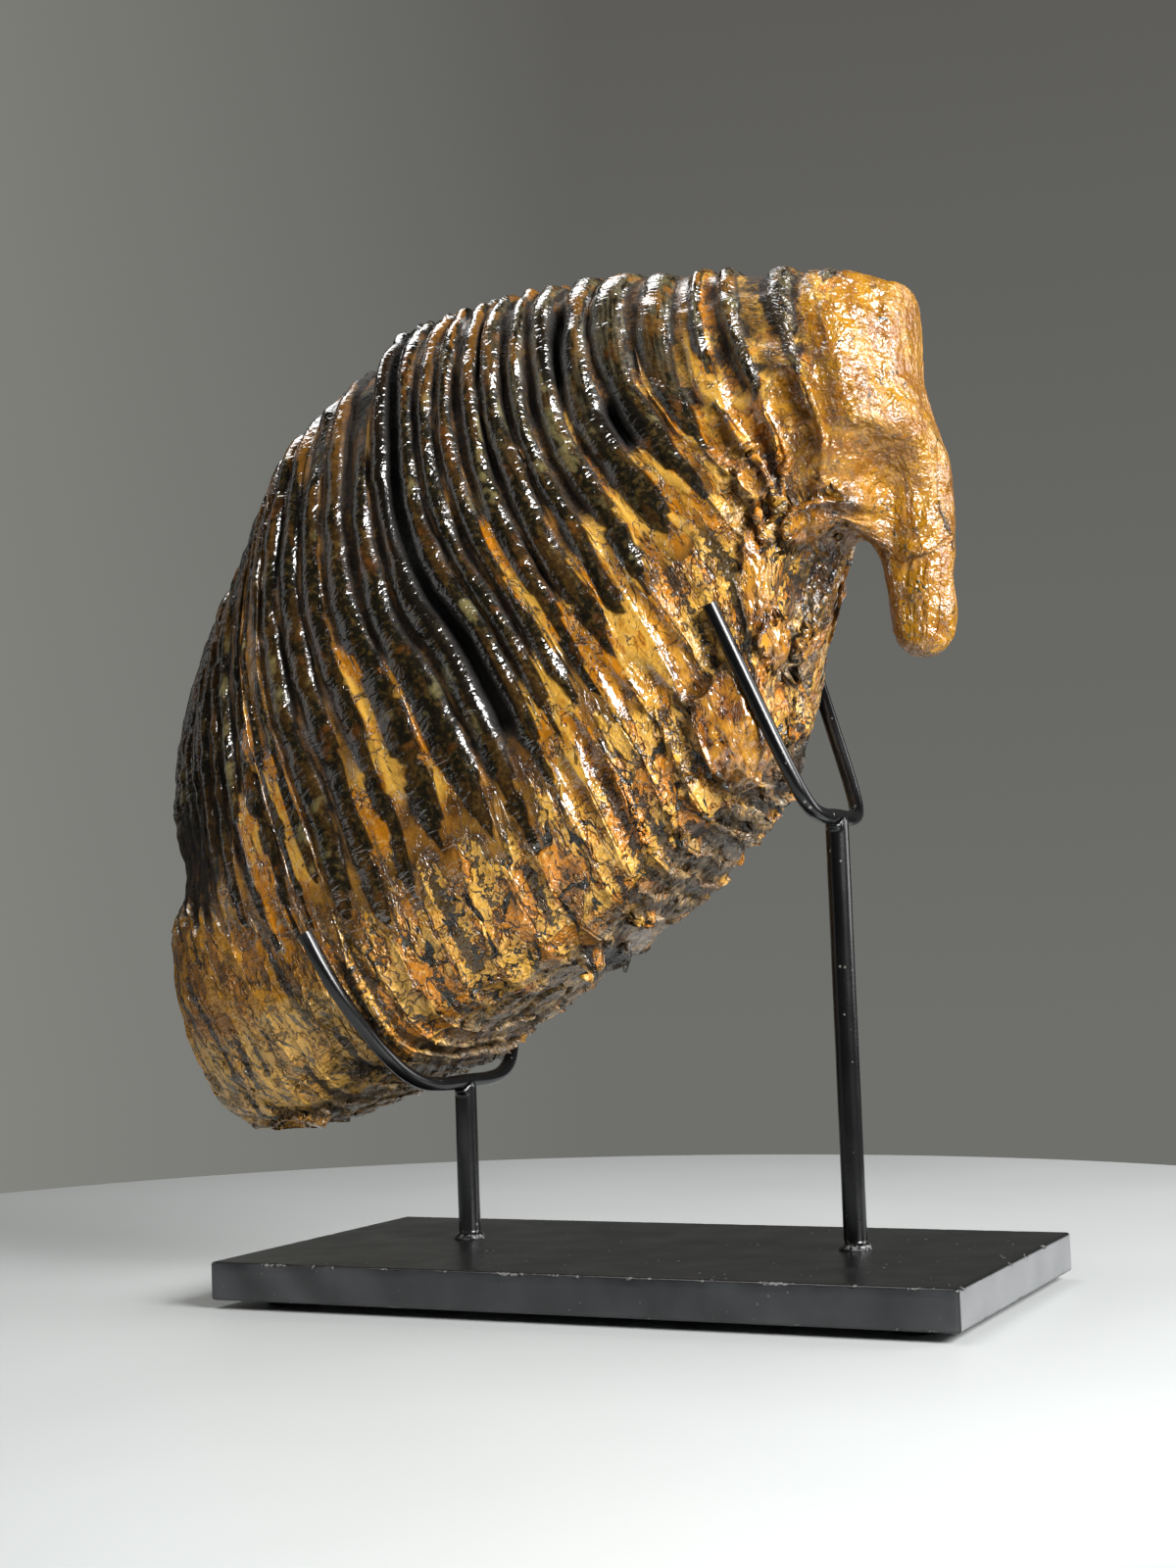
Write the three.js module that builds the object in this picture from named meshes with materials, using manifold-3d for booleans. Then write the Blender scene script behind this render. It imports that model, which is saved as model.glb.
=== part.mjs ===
// A fossil mammoth molar held on a welded steel display stand.
// Millimetres, +Z up. X runs along the base plate, Y to the back, Z = 0 under the feet.
// The tooth is one solid, lofted from plate to plate like the real one grew.
// Each guide plate gives one line from the chewing edge down to the root.

import * as THREE from 'three';
import { mergeVertices } from 'three/addons/utils/BufferGeometryUtils.js';
import Module from 'manifold-3d';

const wasm = await Module();
wasm.setup();

// Driving dimensions
const base = { length: 205, depth: 100, thickness: 10, edge: 0.8 };
const foot = { radius: 7, height: 2.3, edge: 0.4, sides: 20, insetX: 15.5, insetY: 16 };
const post = { radius: 3.1, sides: 16, y: 7 };
const weld = { radius: 4.3, waistRadius: 3.5, waistHeight: 0.7, height: 1.6 };
const wire = { radius: 2, sides: 10, steps: 56 };
const clearance = 0.35;
const plateTop = foot.height + base.thickness;

// One cradle is half a wire outline, mirrored: [out from the middle, up along its leaning plane].
const cradleLow = {
  postX: -55.5,
  bottomZ: 43.6,
  leanDegrees: 23,
  outline: [[0, 0], [14, 0], [22, 1.2], [29, 4.4], [35, 9.8], [40.5, 17.5], [46, 27], [49.5, 37], [51.5, 46]],
};
const cradleHigh = {
  postX: 58,
  bottomZ: 111,
  leanDegrees: 20,
  outline: [[0, 0], [11, 0], [16.5, 1.4], [19.8, 5], [22, 10.5], [24, 18], [26.2, 28], [29, 40], [32.8, 57]],
};

// Guide plates, heights above the base plate. at: place in the row of plates, counted from the back end.
// crown, upper, lower and root are [x, z] down the plate, and half is its half width at crown, middle and root.
// front and back are how far down the root each side reaches, and hollow is the depth of the pulp pocket.
const guides = [
  {
    at: 0, crown: [-136, 150], upper: [-135.5, 118], lower: [-138, 82], root: [-127, 38],
    half: [10, 14, 11],
  },
  {
    at: 1, crown: [-133, 157], upper: [-132.5, 120], lower: [-134, 81], root: [-119, 32],
    half: [20, 28, 23],
  },
  {
    at: 2.5, crown: [-125, 171], upper: [-124, 128], lower: [-122, 83], root: [-102, 31],
    half: [28, 39, 33], hollow: 0.02,
  },
  {
    at: 4.5, crown: [-109, 197], upper: [-109, 143], lower: [-99, 93], root: [-78, 37],
    half: [33, 46, 41], hollow: 0.02,
  },
  {
    at: 7, crown: [-88, 229], upper: [-91, 166], lower: [-73, 106], root: [-50, 49],
    half: [35, 47, 41], hollow: 0.03,
  },
  {
    at: 10, crown: [-61, 252], upper: [-55, 189], lower: [-31, 127], root: [-11, 68],
    half: [35, 46, 35], hollow: 0.05,
  },
  {
    at: 13, crown: [-36, 258], upper: [-29, 203], lower: [0, 145], root: [19, 88],
    half: [35, 43, 29], hollow: 0.06,
  },
  {
    at: 16, crown: [-9, 260], upper: [-3, 214], lower: [26, 162], root: [39, 110],
    half: [34, 37, 24], hollow: 0.06,
  },
  {
    at: 18.5, crown: [12, 259], upper: [17, 222], lower: [47, 177], root: [45, 127],
    half: [33, 32, 22], front: 0.92, hollow: 0.07,
  },
  {
    at: 20.5, crown: [29, 257], upper: [36, 220], lower: [53, 188], root: [48, 149],
    half: [31, 30, 21], front: 0.88, hollow: 0.1,
  },
  {
    at: 22.5, crown: [47, 255], upper: [53, 229], lower: [61, 201], root: [54, 168],
    half: [29, 29, 20], front: 0.82, back: 0.97, hollow: 0.09,
  },
  { at: 24.1, crown: [64, 252], upper: [68, 226], lower: [73, 205], root: [70, 186], half: [27, 28, 20] },
  {
    at: 24.7, crown: [70, 251], upper: [74, 224], lower: [79, 200], root: [77, 156],
    half: [26, 27, 21], front: 0.84,
  },
  {
    at: 26, crown: [81, 247], upper: [81, 222], lower: [87, 193], root: [84, 150],
    half: [22, 23, 20], front: 0.78,
  },
];
const lastPlate = 26;
const loft = {
  midY: 7,
  around: 28,
  perPlate: 4,
  crownRound: 0.5,
  sideRound: 0.6,
  typicalHeight: 140,
  typicalHalf: 38,
  ridge: 1.5,
  endFade: 3,
  rootStarts: 0.3,
  pocketStarts: 0.8,
  sideTurn: [-0.35, 0.15],
  capSteps: [0.93, 0.76, 0.48],
  backCap: 1,
  frontCap: 4,
};

const colours = {
  fossil: { color: 0x5a4222, roughness: 0.3, metalness: 0 },
  steel: { color: 0x151515, roughness: 0.45, metalness: 0.2 },
  pad: { color: 0x0c0c0c, roughness: 0.9, metalness: 0 },
};

const smooth = (from, to, x) => {
  const s = THREE.MathUtils.clamp((x - from) / (to - from), 0, 1);
  return s * s * (3 - 2 * s);
};

// Smooth value of one guide measure at any place in the row (Hermite, with slopes from the neighbours).
function alongRow(place, read) {
  let i = guides.findIndex((g) => g.at > place) - 1;
  if (i < 0) i = guides.length - 2;
  const slope = (k) => {
    const a = guides[Math.max(k - 1, 0)];
    const b = guides[Math.min(k + 1, guides.length - 1)];
    return (read(b) - read(a)) / (b.at - a.at);
  };
  const step = guides[i + 1].at - guides[i].at;
  const s = (place - guides[i].at) / step;
  const s2 = s * s;
  const s3 = s2 * s;
  return (2 * s3 - 3 * s2 + 1) * read(guides[i]) + (s3 - 2 * s2 + s) * step * slope(i)
    + (-2 * s3 + 3 * s2) * read(guides[i + 1]) + (s3 - s2) * step * slope(i + 1);
}

// Everything that one plate needs, read once for its loop.
function plateAt(place) {
  const point = (name) => new THREE.Vector2(
    alongRow(place, (g) => g[name][0]),
    alongRow(place, (g) => g[name][1]),
  );
  return {
    line: new THREE.SplineCurve(['crown', 'upper', 'lower', 'root'].map(point)),
    half: [0, 1, 2].map((k) => alongRow(place, (g) => g.half[k])),
    front: alongRow(place, (g) => g.front ?? 1),
    back: alongRow(place, (g) => g.back ?? 1),
    hollow: alongRow(place, (g) => g.hollow ?? 0),
  };
}

// The outline of a plate as [down, across], evenly spaced: down 0 crown to 1 root, across -1 front to 1 back.
function plateOutline(count) {
  const fine = 2000;
  const signedPower = (v, e) => Math.sign(v) * Math.abs(v) ** e;
  const samples = [];
  let travelled = 0;
  for (let i = 0; i <= fine; i += 1) {
    const angle = (2 * Math.PI * i) / fine;
    const down = 0.5 - 0.5 * signedPower(Math.cos(angle), loft.crownRound);
    const across = -signedPower(Math.sin(angle), loft.sideRound);
    const before = samples[i - 1];
    if (before) {
      travelled += Math.hypot((down - before.down) * loft.typicalHeight, (across - before.across) * loft.typicalHalf);
    }
    samples.push({ down, across, travelled });
  }
  const outline = [];
  for (let k = 0, i = 1; k < count; k += 1) {
    const target = (travelled * k) / count;
    while (samples[i].travelled < target) i += 1;
    const a = samples[i - 1];
    const b = samples[i];
    const s = (target - a.travelled) / (b.travelled - a.travelled);
    outline.push([a.down + (b.down - a.down) * s, a.across + (b.across - a.across) * s]);
  }
  return outline;
}

// One loop of the bare tooth, before its ridges.
function plateLoop(place, outline) {
  const plate = plateAt(place);
  const [crown, middle, root] = plate.half;
  return outline.map(([down, across]) => {
    const reach = plate.front + (plate.back - plate.front) * smooth(...loft.sideTurn, across);
    const hollow = plate.hollow * (1 - across * across) * smooth(loft.pocketStarts, 1, down);
    const shortened = down * (1 - (1 - reach) * smooth(loft.rootStarts, 1, down));
    const t = THREE.MathUtils.clamp(shortened - hollow, 0, 1);
    const half = crown * (1 - down) * (1 - 2 * down) + middle * 4 * down * (1 - down) + root * down * (2 * down - 1);
    const p = plate.line.getPoint(t);
    return new THREE.Vector3(p.x, loft.midY + across * half, plateTop + p.y);
  });
}

// A loop drawn in towards the middle of the tooth, to round an end.
function capLoop(loop, width, bulge) {
  const out = bulge * Math.sqrt(1 - width * width);
  return loop.map((p) => new THREE.Vector3(p.x + out, loft.midY + (p.y - loft.midY) * width, p.z));
}

function solidFrom(positions, indices) {
  const geometry = new THREE.BufferGeometry();
  geometry.setAttribute('position', new THREE.Float32BufferAttribute(positions, 3));
  geometry.setIndex(indices);
  return manifoldOf(geometry);
}

function manifoldOf(source) {
  const geometry = source.index && !source.attributes.normal ? source : mergedPositions(source);
  return new wasm.Manifold(new wasm.Mesh({
    numProp: 3,
    vertProperties: new Float32Array(geometry.attributes.position.array),
    triVerts: new Uint32Array(geometry.index.array),
  }));
}

function mergedPositions(source) {
  const geometry = source.clone();
  geometry.deleteAttribute('normal');
  geometry.deleteAttribute('uv');
  return mergeVertices(geometry, 1e-4);
}

function geometryOf(solid) {
  const mesh = solid.getMesh();
  const geometry = new THREE.BufferGeometry();
  geometry.setAttribute('position', new THREE.Float32BufferAttribute(mesh.vertProperties, 3));
  geometry.setIndex(new THREE.Uint32BufferAttribute(mesh.triVerts, 1));
  geometry.computeVertexNormals();
  return geometry;
}

// The grid of loops, with a ridge on every plate that fades towards the root and the ends.
function toothSolid() {
  const outline = plateOutline(loft.around);
  const count = outline.length;
  const places = [];
  for (let k = 0; k <= lastPlate * loft.perPlate; k += 1) places.push(k / loft.perPlate);
  const bare = places.map((place) => plateLoop(place, outline));
  const loops = bare.map((loop, i) => {
    const onPlate = 0.5 - 0.5 * Math.cos(2 * Math.PI * places[i]);
    const endFade = smooth(0, 1, places[i]) * smooth(lastPlate, lastPlate - loft.endFade, places[i]);
    return loop.map((p, j) => {
      const before = bare[Math.max(i - 1, 0)][j];
      const after = bare[Math.min(i + 1, bare.length - 1)][j];
      const left = loop[(j + count - 1) % count];
      const right = loop[(j + 1) % count];
      const normal = right.clone().sub(left).cross(after.clone().sub(before)).normalize();
      const rootFade = 1 - 0.7 * smooth(0.55, 0.9, outline[j][0]);
      return p.clone().addScaledVector(normal, -loft.ridge * (1 - onPlate) * endFade * rootFade);
    });
  });
  const backCaps = loft.capSteps.map((w) => capLoop(loops[0], w, -loft.backCap)).reverse();
  const frontCaps = loft.capSteps.map((w) => capLoop(loops[loops.length - 1], w, loft.frontCap));
  const all = [...backCaps, ...loops, ...frontCaps];

  const positions = all.flat().flatMap((p) => [p.x, p.y, p.z]);
  const indices = [];
  const quad = (a, b, c, d) => indices.push(a, b, c, a, c, d);
  for (let i = 0; i < all.length - 1; i += 1) {
    for (let j = 0; j < count; j += 1) {
      const k = (j + 1) % count;
      quad(i * count + j, i * count + k, (i + 1) * count + k, (i + 1) * count + j);
    }
  }
  // Each end closes across, from the front side to the back side.
  const last = (all.length - 1) * count;
  const half = count / 2;
  for (let j = 0; j < half; j += 1) {
    const across = (k) => (count - k) % count;
    if (j === 0) {
      indices.push(0, across(1), 1);
      indices.push(last, last + 1, last + across(1));
    } else if (j === half - 1) {
      indices.push(j, across(j), half);
      indices.push(last + j, last + half, last + across(j));
    } else {
      quad(j, across(j), across(j + 1), j + 1);
      quad(last + j, last + j + 1, last + across(j + 1), last + across(j));
    }
  }
  return solidFrom(positions, indices);
}

// The wire of one cradle, bent in a plane that leans back along the tooth.
function cradleGeometry(cradle, radius) {
  const lean = THREE.MathUtils.degToRad(cradle.leanDegrees);
  const place = ([out, up], side) => new THREE.Vector3(
    cradle.postX - up * Math.sin(lean),
    post.y + side * out,
    plateTop + cradle.bottomZ + up * Math.cos(lean),
  );
  const frontArm = cradle.outline.slice(1).reverse().map((p) => place(p, -1));
  const backArm = cradle.outline.slice(1).map((p) => place(p, 1));
  const path = new THREE.CatmullRomCurve3([...frontArm, place(cradle.outline[0], 0), ...backArm]);
  const section = new THREE.Shape();
  for (let k = 0; k < wire.sides; k += 1) {
    const angle = (2 * Math.PI * k) / wire.sides;
    const at = [radius * Math.cos(angle), radius * Math.sin(angle)];
    if (k === 0) section.moveTo(...at);
    else section.lineTo(...at);
  }
  section.closePath();
  return new THREE.ExtrudeGeometry(section, { steps: wire.steps, extrudePath: path, bevelEnabled: false });
}

function basePlateGeometry() {
  const halfLength = base.length / 2 - base.edge;
  const halfDepth = base.depth / 2 - base.edge;
  const shape = new THREE.Shape([
    new THREE.Vector2(-halfLength, -halfDepth),
    new THREE.Vector2(halfLength, -halfDepth),
    new THREE.Vector2(halfLength, halfDepth),
    new THREE.Vector2(-halfLength, halfDepth),
  ]);
  const geometry = new THREE.ExtrudeGeometry(shape, {
    depth: base.thickness - 2 * base.edge,
    bevelEnabled: true,
    bevelSize: base.edge,
    bevelThickness: base.edge,
    bevelSegments: 1,
  });
  return geometry.translate(0, 0, foot.height + base.edge);
}

// A round post with a small weld fillet where it meets the plate.
function postGeometry(height) {
  const profile = [
    [0, 0],
    [weld.radius, 0],
    [weld.waistRadius, weld.waistHeight],
    [post.radius, weld.height],
    [post.radius, height],
    [0, height],
  ].map(([r, z]) => new THREE.Vector2(r, z));
  return new THREE.LatheGeometry(profile, post.sides).rotateX(Math.PI / 2);
}

function footGeometry() {
  const profile = [
    [0, 0],
    [foot.radius - foot.edge, 0],
    [foot.radius, foot.edge],
    [foot.radius, foot.height],
    [0, foot.height],
  ].map(([r, z]) => new THREE.Vector2(r, z));
  return new THREE.LatheGeometry(profile, foot.sides).rotateX(Math.PI / 2);
}

const group = new THREE.Group();

function addPiece(name, geometry, look) {
  const mesh = new THREE.Mesh(geometry, new THREE.MeshStandardMaterial(look));
  mesh.name = name;
  group.add(mesh);
  return mesh;
}

// The tooth rests in its cradles, so their room is taken out of it.
const roomFor = (cradle) => manifoldOf(cradleGeometry(cradle, wire.radius + clearance));
const tooth = toothSolid().subtract(roomFor(cradleLow)).subtract(roomFor(cradleHigh));
addPiece('tooth', geometryOf(tooth), colours.fossil);

addPiece('base_plate', basePlateGeometry(), colours.steel);
for (const side of [-1, 1]) {
  for (const depth of [-1, 1]) {
    const name = `foot_${depth < 0 ? 'front' : 'back'}_${side < 0 ? 'left' : 'right'}`;
    addPiece(name, footGeometry(), colours.pad).position.set(
      side * (base.length / 2 - foot.insetX),
      depth * (base.depth / 2 - foot.insetY),
      0,
    );
  }
}

// Each post stops under its cradle, and is cut to the wire that is welded on it.
const stands = [
  { postName: 'post_short', cradleName: 'cradle_low', cradle: cradleLow },
  { postName: 'post_tall', cradleName: 'cradle_high', cradle: cradleHigh },
];
for (const { postName, cradleName, cradle } of stands) {
  const upright = postGeometry(cradle.bottomZ);
  upright.translate(cradle.postX, post.y, plateTop);
  const solid = manifoldOf(upright).subtract(manifoldOf(cradleGeometry(cradle, wire.radius + clearance)));
  addPiece(postName, geometryOf(solid), colours.steel);
  addPiece(cradleName, cradleGeometry(cradle, wire.radius), colours.steel);
}

// The whole object is centred over the origin.
group.updateMatrixWorld(true);
const box = new THREE.Box3().setFromObject(group, true);
group.position.set(-(box.min.x + box.max.x) / 2, -(box.min.y + box.max.y) / 2, 0);

export default group;
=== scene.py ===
import math
from types import SimpleNamespace

import bpy
import numpy as np
from mathutils import Matrix, Vector


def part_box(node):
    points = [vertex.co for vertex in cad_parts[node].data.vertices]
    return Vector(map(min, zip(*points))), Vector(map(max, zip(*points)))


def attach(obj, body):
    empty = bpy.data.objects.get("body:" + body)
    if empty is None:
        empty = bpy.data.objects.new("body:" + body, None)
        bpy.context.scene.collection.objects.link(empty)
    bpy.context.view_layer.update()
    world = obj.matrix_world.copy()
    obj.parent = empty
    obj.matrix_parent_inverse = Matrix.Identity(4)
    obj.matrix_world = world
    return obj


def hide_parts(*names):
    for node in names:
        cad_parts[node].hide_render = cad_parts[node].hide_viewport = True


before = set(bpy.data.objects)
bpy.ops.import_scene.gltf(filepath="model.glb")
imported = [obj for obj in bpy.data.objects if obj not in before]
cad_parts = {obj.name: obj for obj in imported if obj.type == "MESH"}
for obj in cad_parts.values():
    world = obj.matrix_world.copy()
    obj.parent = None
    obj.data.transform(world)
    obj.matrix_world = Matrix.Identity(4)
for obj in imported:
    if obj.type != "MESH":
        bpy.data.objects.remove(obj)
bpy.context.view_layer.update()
mm = 0.001

# The pieces are laid out in millimetres from the middle of the base plate's top face.
plateLow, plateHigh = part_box("base_plate")
origin = np.array([(plateLow.x + plateHigh.x) / 2, (plateLow.y + plateHigh.y) / 2, plateHigh.z])
lattice = np.random.default_rng(26).uniform(-1, 1, (32, 32, 32))


def toWorld(points):
    return np.asarray(points) * mm + origin


def smooth(start, end, x):
    s = np.clip((x - start) / (end - start), 0, 1)
    return s * s * (3 - 2 * s)


# A smooth wandering value from -1 to 1, with about one swell to a unit.
def drift(x, y=0.0, z=0.0):
    x, y, z = np.broadcast_arrays(*(np.asarray(v, float) for v in (x, y, z)))
    cells = [np.floor(v).astype(int) for v in (x, y, z)]
    parts = [v - c for v, c in zip((x, y, z), cells)]
    parts = [p * p * (3 - 2 * p) for p in parts]
    total = np.zeros(x.shape)
    for corner in np.ndindex(2, 2, 2):
        weight = 1.0
        for part, side in zip(parts, corner):
            weight = weight * (part if side else 1 - part)
        total += weight * lattice[tuple((c + side) % 32 for c, side in zip(cells, corner))]
    return total


def linear(hexColour):
    channels = [int(hexColour[i:i + 2], 16) / 255 for i in (1, 3, 5)]
    return tuple(c / 12.92 if c <= 0.04045 else ((c + 0.055) / 1.055) ** 2.4 for c in channels) + (1.0,)


# Adds one node with its settings; a socket gets a link, a colour or a number.
def put(tree, kind, feeds=None, out=0, **settings):
    made = tree.nodes.new(kind)
    for name, value in settings.items():
        setattr(made, name, value)
    for socket, value in (feeds or {}).items():
        if isinstance(value, bpy.types.NodeSocket):
            tree.links.new(value, made.inputs[socket])
        else:
            isColour = isinstance(value, str) and value.startswith("#")
            made.inputs[socket].default_value = linear(value) if isColour else value
    return made.outputs[out] if len(made.outputs) else made


def newMaterial(name):
    material = bpy.data.materials.new(name)
    material.use_nodes = True
    material.node_tree.nodes.clear()
    return material, material.node_tree


def addObject(name, data):
    made = bpy.data.objects.new(name, data)
    bpy.context.scene.collection.objects.link(made)
    return made


def setAttribute(mesh, name, values, kind="FLOAT"):
    attribute = mesh.attributes.new(name, kind, "POINT")
    field = "vector" if kind == "FLOAT_VECTOR" else "value"
    attribute.data.foreach_set(field, np.ravel(values).astype(np.float32))


# A smooth skin over rings of points in metres, wound outwards or turned over, with flat ends if closed.
def skinRings(name, rings, material, turned=False, closed=True):
    rings = np.asarray(rings)
    count = rings.shape[1]
    faces = []
    for ring in range(len(rings) - 1):
        for k in range(count):
            a, b = ring * count + k, ring * count + (k + 1) % count
            faces.append((a, a + count, b + count, b) if turned else (a, b, b + count, a + count))
    if closed:
        faces.append(tuple(reversed(range(count))))
        faces.append(tuple(range((len(rings) - 1) * count, len(rings) * count)))
    mesh = bpy.data.meshes.new(name)
    mesh.from_pydata(rings.reshape(-1, 3).tolist(), [], faces)
    mesh.polygons.foreach_set("use_smooth", np.ones(len(faces), bool))
    mesh.materials.append(material)
    return mesh


def newTree(name, sizes):
    tree = bpy.data.node_groups.new(name, "GeometryNodeTree")
    tree.interface.new_socket("Geometry", in_out="INPUT", socket_type="NodeSocketGeometry")
    for label, value in sizes.items():
        made = tree.interface.new_socket(label, in_out="INPUT", socket_type="NodeSocketFloat")
        made.default_value = value
    tree.interface.new_socket("Geometry", in_out="OUTPUT", socket_type="NodeSocketGeometry")
    inputs = tree.nodes.new("NodeGroupInput")
    return tree, inputs.outputs


def endTree(tree, geometry, material):
    real = put(tree, "GeometryNodeRealizeInstances", {0: geometry})
    painted = put(tree, "GeometryNodeSetMaterial", {"Geometry": real, "Material": material})
    put(tree, "NodeGroupOutput", {0: painted})


# Runs a node tree on a piece and keeps the result as its plain mesh.
def runTree(piece, tree, sizes):
    modifier = piece.modifiers.new("shape", "NODES")
    modifier.node_group = tree
    for item in tree.interface.items_tree:
        if item.in_out == "INPUT" and item.name in sizes:
            modifier[item.identifier] = float(sizes[item.name])
    evaluated = piece.evaluated_get(bpy.context.evaluated_depsgraph_get())
    mesh = bpy.data.meshes.new_from_object(evaluated)
    piece.modifiers.remove(modifier)
    piece.data = mesh


# Camera
camera = {
    "lens": 49.93,
    "place": (251.808, -526.812, 76.209),
    "turn": math.radians(26.45),
    "up": math.radians(4.62),
    "roll": math.radians(-2.05),
}


def addCamera():
    turn, up, roll = camera["turn"], camera["up"], camera["roll"]
    forward = Vector((-math.sin(turn) * math.cos(up), math.cos(turn) * math.cos(up), math.sin(up)))
    level = Vector((math.cos(turn), math.sin(turn), 0))
    upward = level.cross(forward)
    right = math.cos(roll) * level + math.sin(roll) * upward
    top = -math.sin(roll) * level + math.cos(roll) * upward
    data = bpy.data.cameras.new("camera")
    data.lens = camera["lens"]
    data.clip_start = 0.01
    made = addObject("camera", data)
    turned = Matrix((right, top, -forward)).transposed().to_4x4()
    made.matrix_world = Matrix.Translation(toWorld(camera["place"])) @ turned
    bpy.context.scene.camera = made


addCamera()
print("camera placed")

# Studio: round white table, grey backdrop, soft lights
studio = {
    "tableRadius": 343,
    "tableMiddle": (-75.6, 37.7),
    "tableThick": 18,
    "tableEdge": 3,
    "tableSides": 180,
    "backLow": "#6f706c",
    "backHigh": "#5b5a57",
    "backLeft": "#8b8c86",
    "leftward": (-0.87, -0.49, 0),
    "forward": (-0.445, 0.895, 0),
    "beyond": "#1c1c1b",
    "lights": [
        {"name": "key", "place": (670, -260, 400), "aim": (-10, 0, 150), "size": (400, 300), "watts": 12.6},
        {"name": "side", "place": (650, 420, 330), "aim": (-10, 0, 150), "size": (400, 520), "watts": 3.5},
        {"name": "top", "place": (-260, 20, 900), "aim": (-160, 0, 80), "size": (600, 400), "watts": 4.8},
        {"name": "left", "place": (-700, -400, 420), "aim": (0, 0, 150), "size": (500, 900), "watts": 0.5},
    ],
}


def addLights():
    for light in studio["lights"]:
        data = bpy.data.lights.new(light["name"], "AREA")
        data.shape = "RECTANGLE"
        data.size, data.size_y = (side * mm for side in light["size"])
        data.energy = light["watts"]
        made = addObject(light["name"], data)
        place, aim = (Vector(toWorld(light[key])) for key in ("place", "aim"))
        made.location = place
        made.rotation_euler = (aim - place).to_track_quat("-Z", "Y").to_euler()


def addBackdrop():
    world = bpy.data.worlds.new("backdrop")
    world.use_nodes = True
    tree = world.node_tree
    tree.nodes.clear()
    direction = put(tree, "ShaderNodeTexCoord", out="Generated")
    height = put(tree, "ShaderNodeSeparateXYZ", {0: direction}, out="Z")
    share = put(tree, "ShaderNodeMapRange", {"Value": height, "From Min": -0.05, "From Max": 0.45})
    grey = put(tree, "ShaderNodeMix", {0: share, 6: studio["backLow"], 7: studio["backHigh"]}, out=2,
               data_type="RGBA")
    leftness = put(tree, "ShaderNodeVectorMath", {0: direction, 1: studio["leftward"]}, out="Value",
                   operation="DOT_PRODUCT")
    leftShare = put(tree, "ShaderNodeMapRange", {"Value": leftness, "From Min": -0.05, "From Max": 0.35})
    shade = put(tree, "ShaderNodeMix", {0: leftShare, 6: grey, 7: studio["backLeft"]}, out=2,
                data_type="RGBA")
    # the wall stands only behind the object; the rest of the room is dark
    ahead = put(tree, "ShaderNodeVectorMath", {0: direction, 1: studio["forward"]}, out="Value",
                operation="DOT_PRODUCT")
    wallShare = put(tree, "ShaderNodeMapRange", {"Value": ahead, "From Min": 0.7, "From Max": 0.88})
    room = put(tree, "ShaderNodeMix", {0: wallShare, 6: studio["beyond"], 7: shade}, out=2, data_type="RGBA")
    shown = put(tree, "ShaderNodeBackground", {"Color": room, "Strength": 1.0})
    put(tree, "ShaderNodeOutputWorld", {"Surface": shown})
    bpy.context.scene.world = world
    bpy.context.scene.view_settings.view_transform = "Standard"


# White lacquered board, faintly mottled and softly reflecting.
def lacquerMaterial():
    material, tree = newMaterial("whiteLacquer")
    place = put(tree, "ShaderNodeTexCoord", out="Object")
    mottle = put(tree, "ShaderNodeTexNoise", {"Vector": place, "Scale": 9, "Detail": 3})
    rough = put(tree, "ShaderNodeMapRange", {"Value": mottle, "To Min": 0.32, "To Max": 0.46})
    white = put(tree, "ShaderNodeMix", {0: mottle, 6: "#c1c4c3", 7: "#c7cac9"}, out=2, data_type="RGBA")
    shader = put(tree, "ShaderNodeBsdfPrincipled", {"Base Color": white, "Roughness": rough})
    put(tree, "ShaderNodeOutputMaterial", {"Surface": shader})
    return material


# The table is turned from a short profile, with its rim rounded.
def addTable():
    radius, thick, edge = studio["tableRadius"], studio["tableThick"], studio["tableEdge"]
    profile = [(0.01, 0), (radius * 0.5, 0), (radius - edge, 0)]
    profile += [(radius - edge + edge * math.sin(a), edge * math.cos(a) - edge)
                for a in (0.3, 0.7, 1.1, 1.57)]
    profile += [(radius, -thick), (0.01, -thick)]
    around = np.linspace(0, 2 * math.pi, studio["tableSides"], endpoint=False)
    rings = [[(r * math.cos(a), r * math.sin(a), z) for a in around] for r, z in profile]
    middle = np.append(np.array(studio["tableMiddle"]) * mm + origin[:2], 0)
    mesh = skinRings("table", np.array(rings) * mm + middle, lacquerMaterial(), turned=True, closed=False)
    addObject("table", mesh)


addLights()
addBackdrop()
addTable()
print("studio ready")

# Wire cradles, each bent flat and leaned back along the tooth
wire = {
    "radius": 2.0,
    "midY": 7.0,
    "clearance": 0.35,
    "hair": 0.02,
    "steps": 200,
    "roomSteps": 140,
    "curveSteps": 24,
    "sides": 28,
    "chamfer": 0.3,
    "low": {
        "node": "cradle_low",
        "postX": -55.5,
        "bottomZ": 43.6,
        "lean": math.radians(23),
        "heart": (-12, 0, 32),
        "outline": [(0, 0), (14, 0), (22, 1.2), (29, 4.4), (35, 9.8), (40.5, 17.5), (46, 27), (49.5, 37),
                    (51.5, 46)],
    },
    "high": {
        "node": "cradle_high",
        "postX": 58.0,
        "bottomZ": 111.0,
        "lean": math.radians(20),
        "heart": (-12, 0, 34),
        "outline": [(0, 0), (11, 0), (16.5, 1.4), (19.8, 5), (22, 10.5), (24, 18), (26.2, 28), (29, 40),
                    (32.8, 57)],
    },
}


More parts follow.
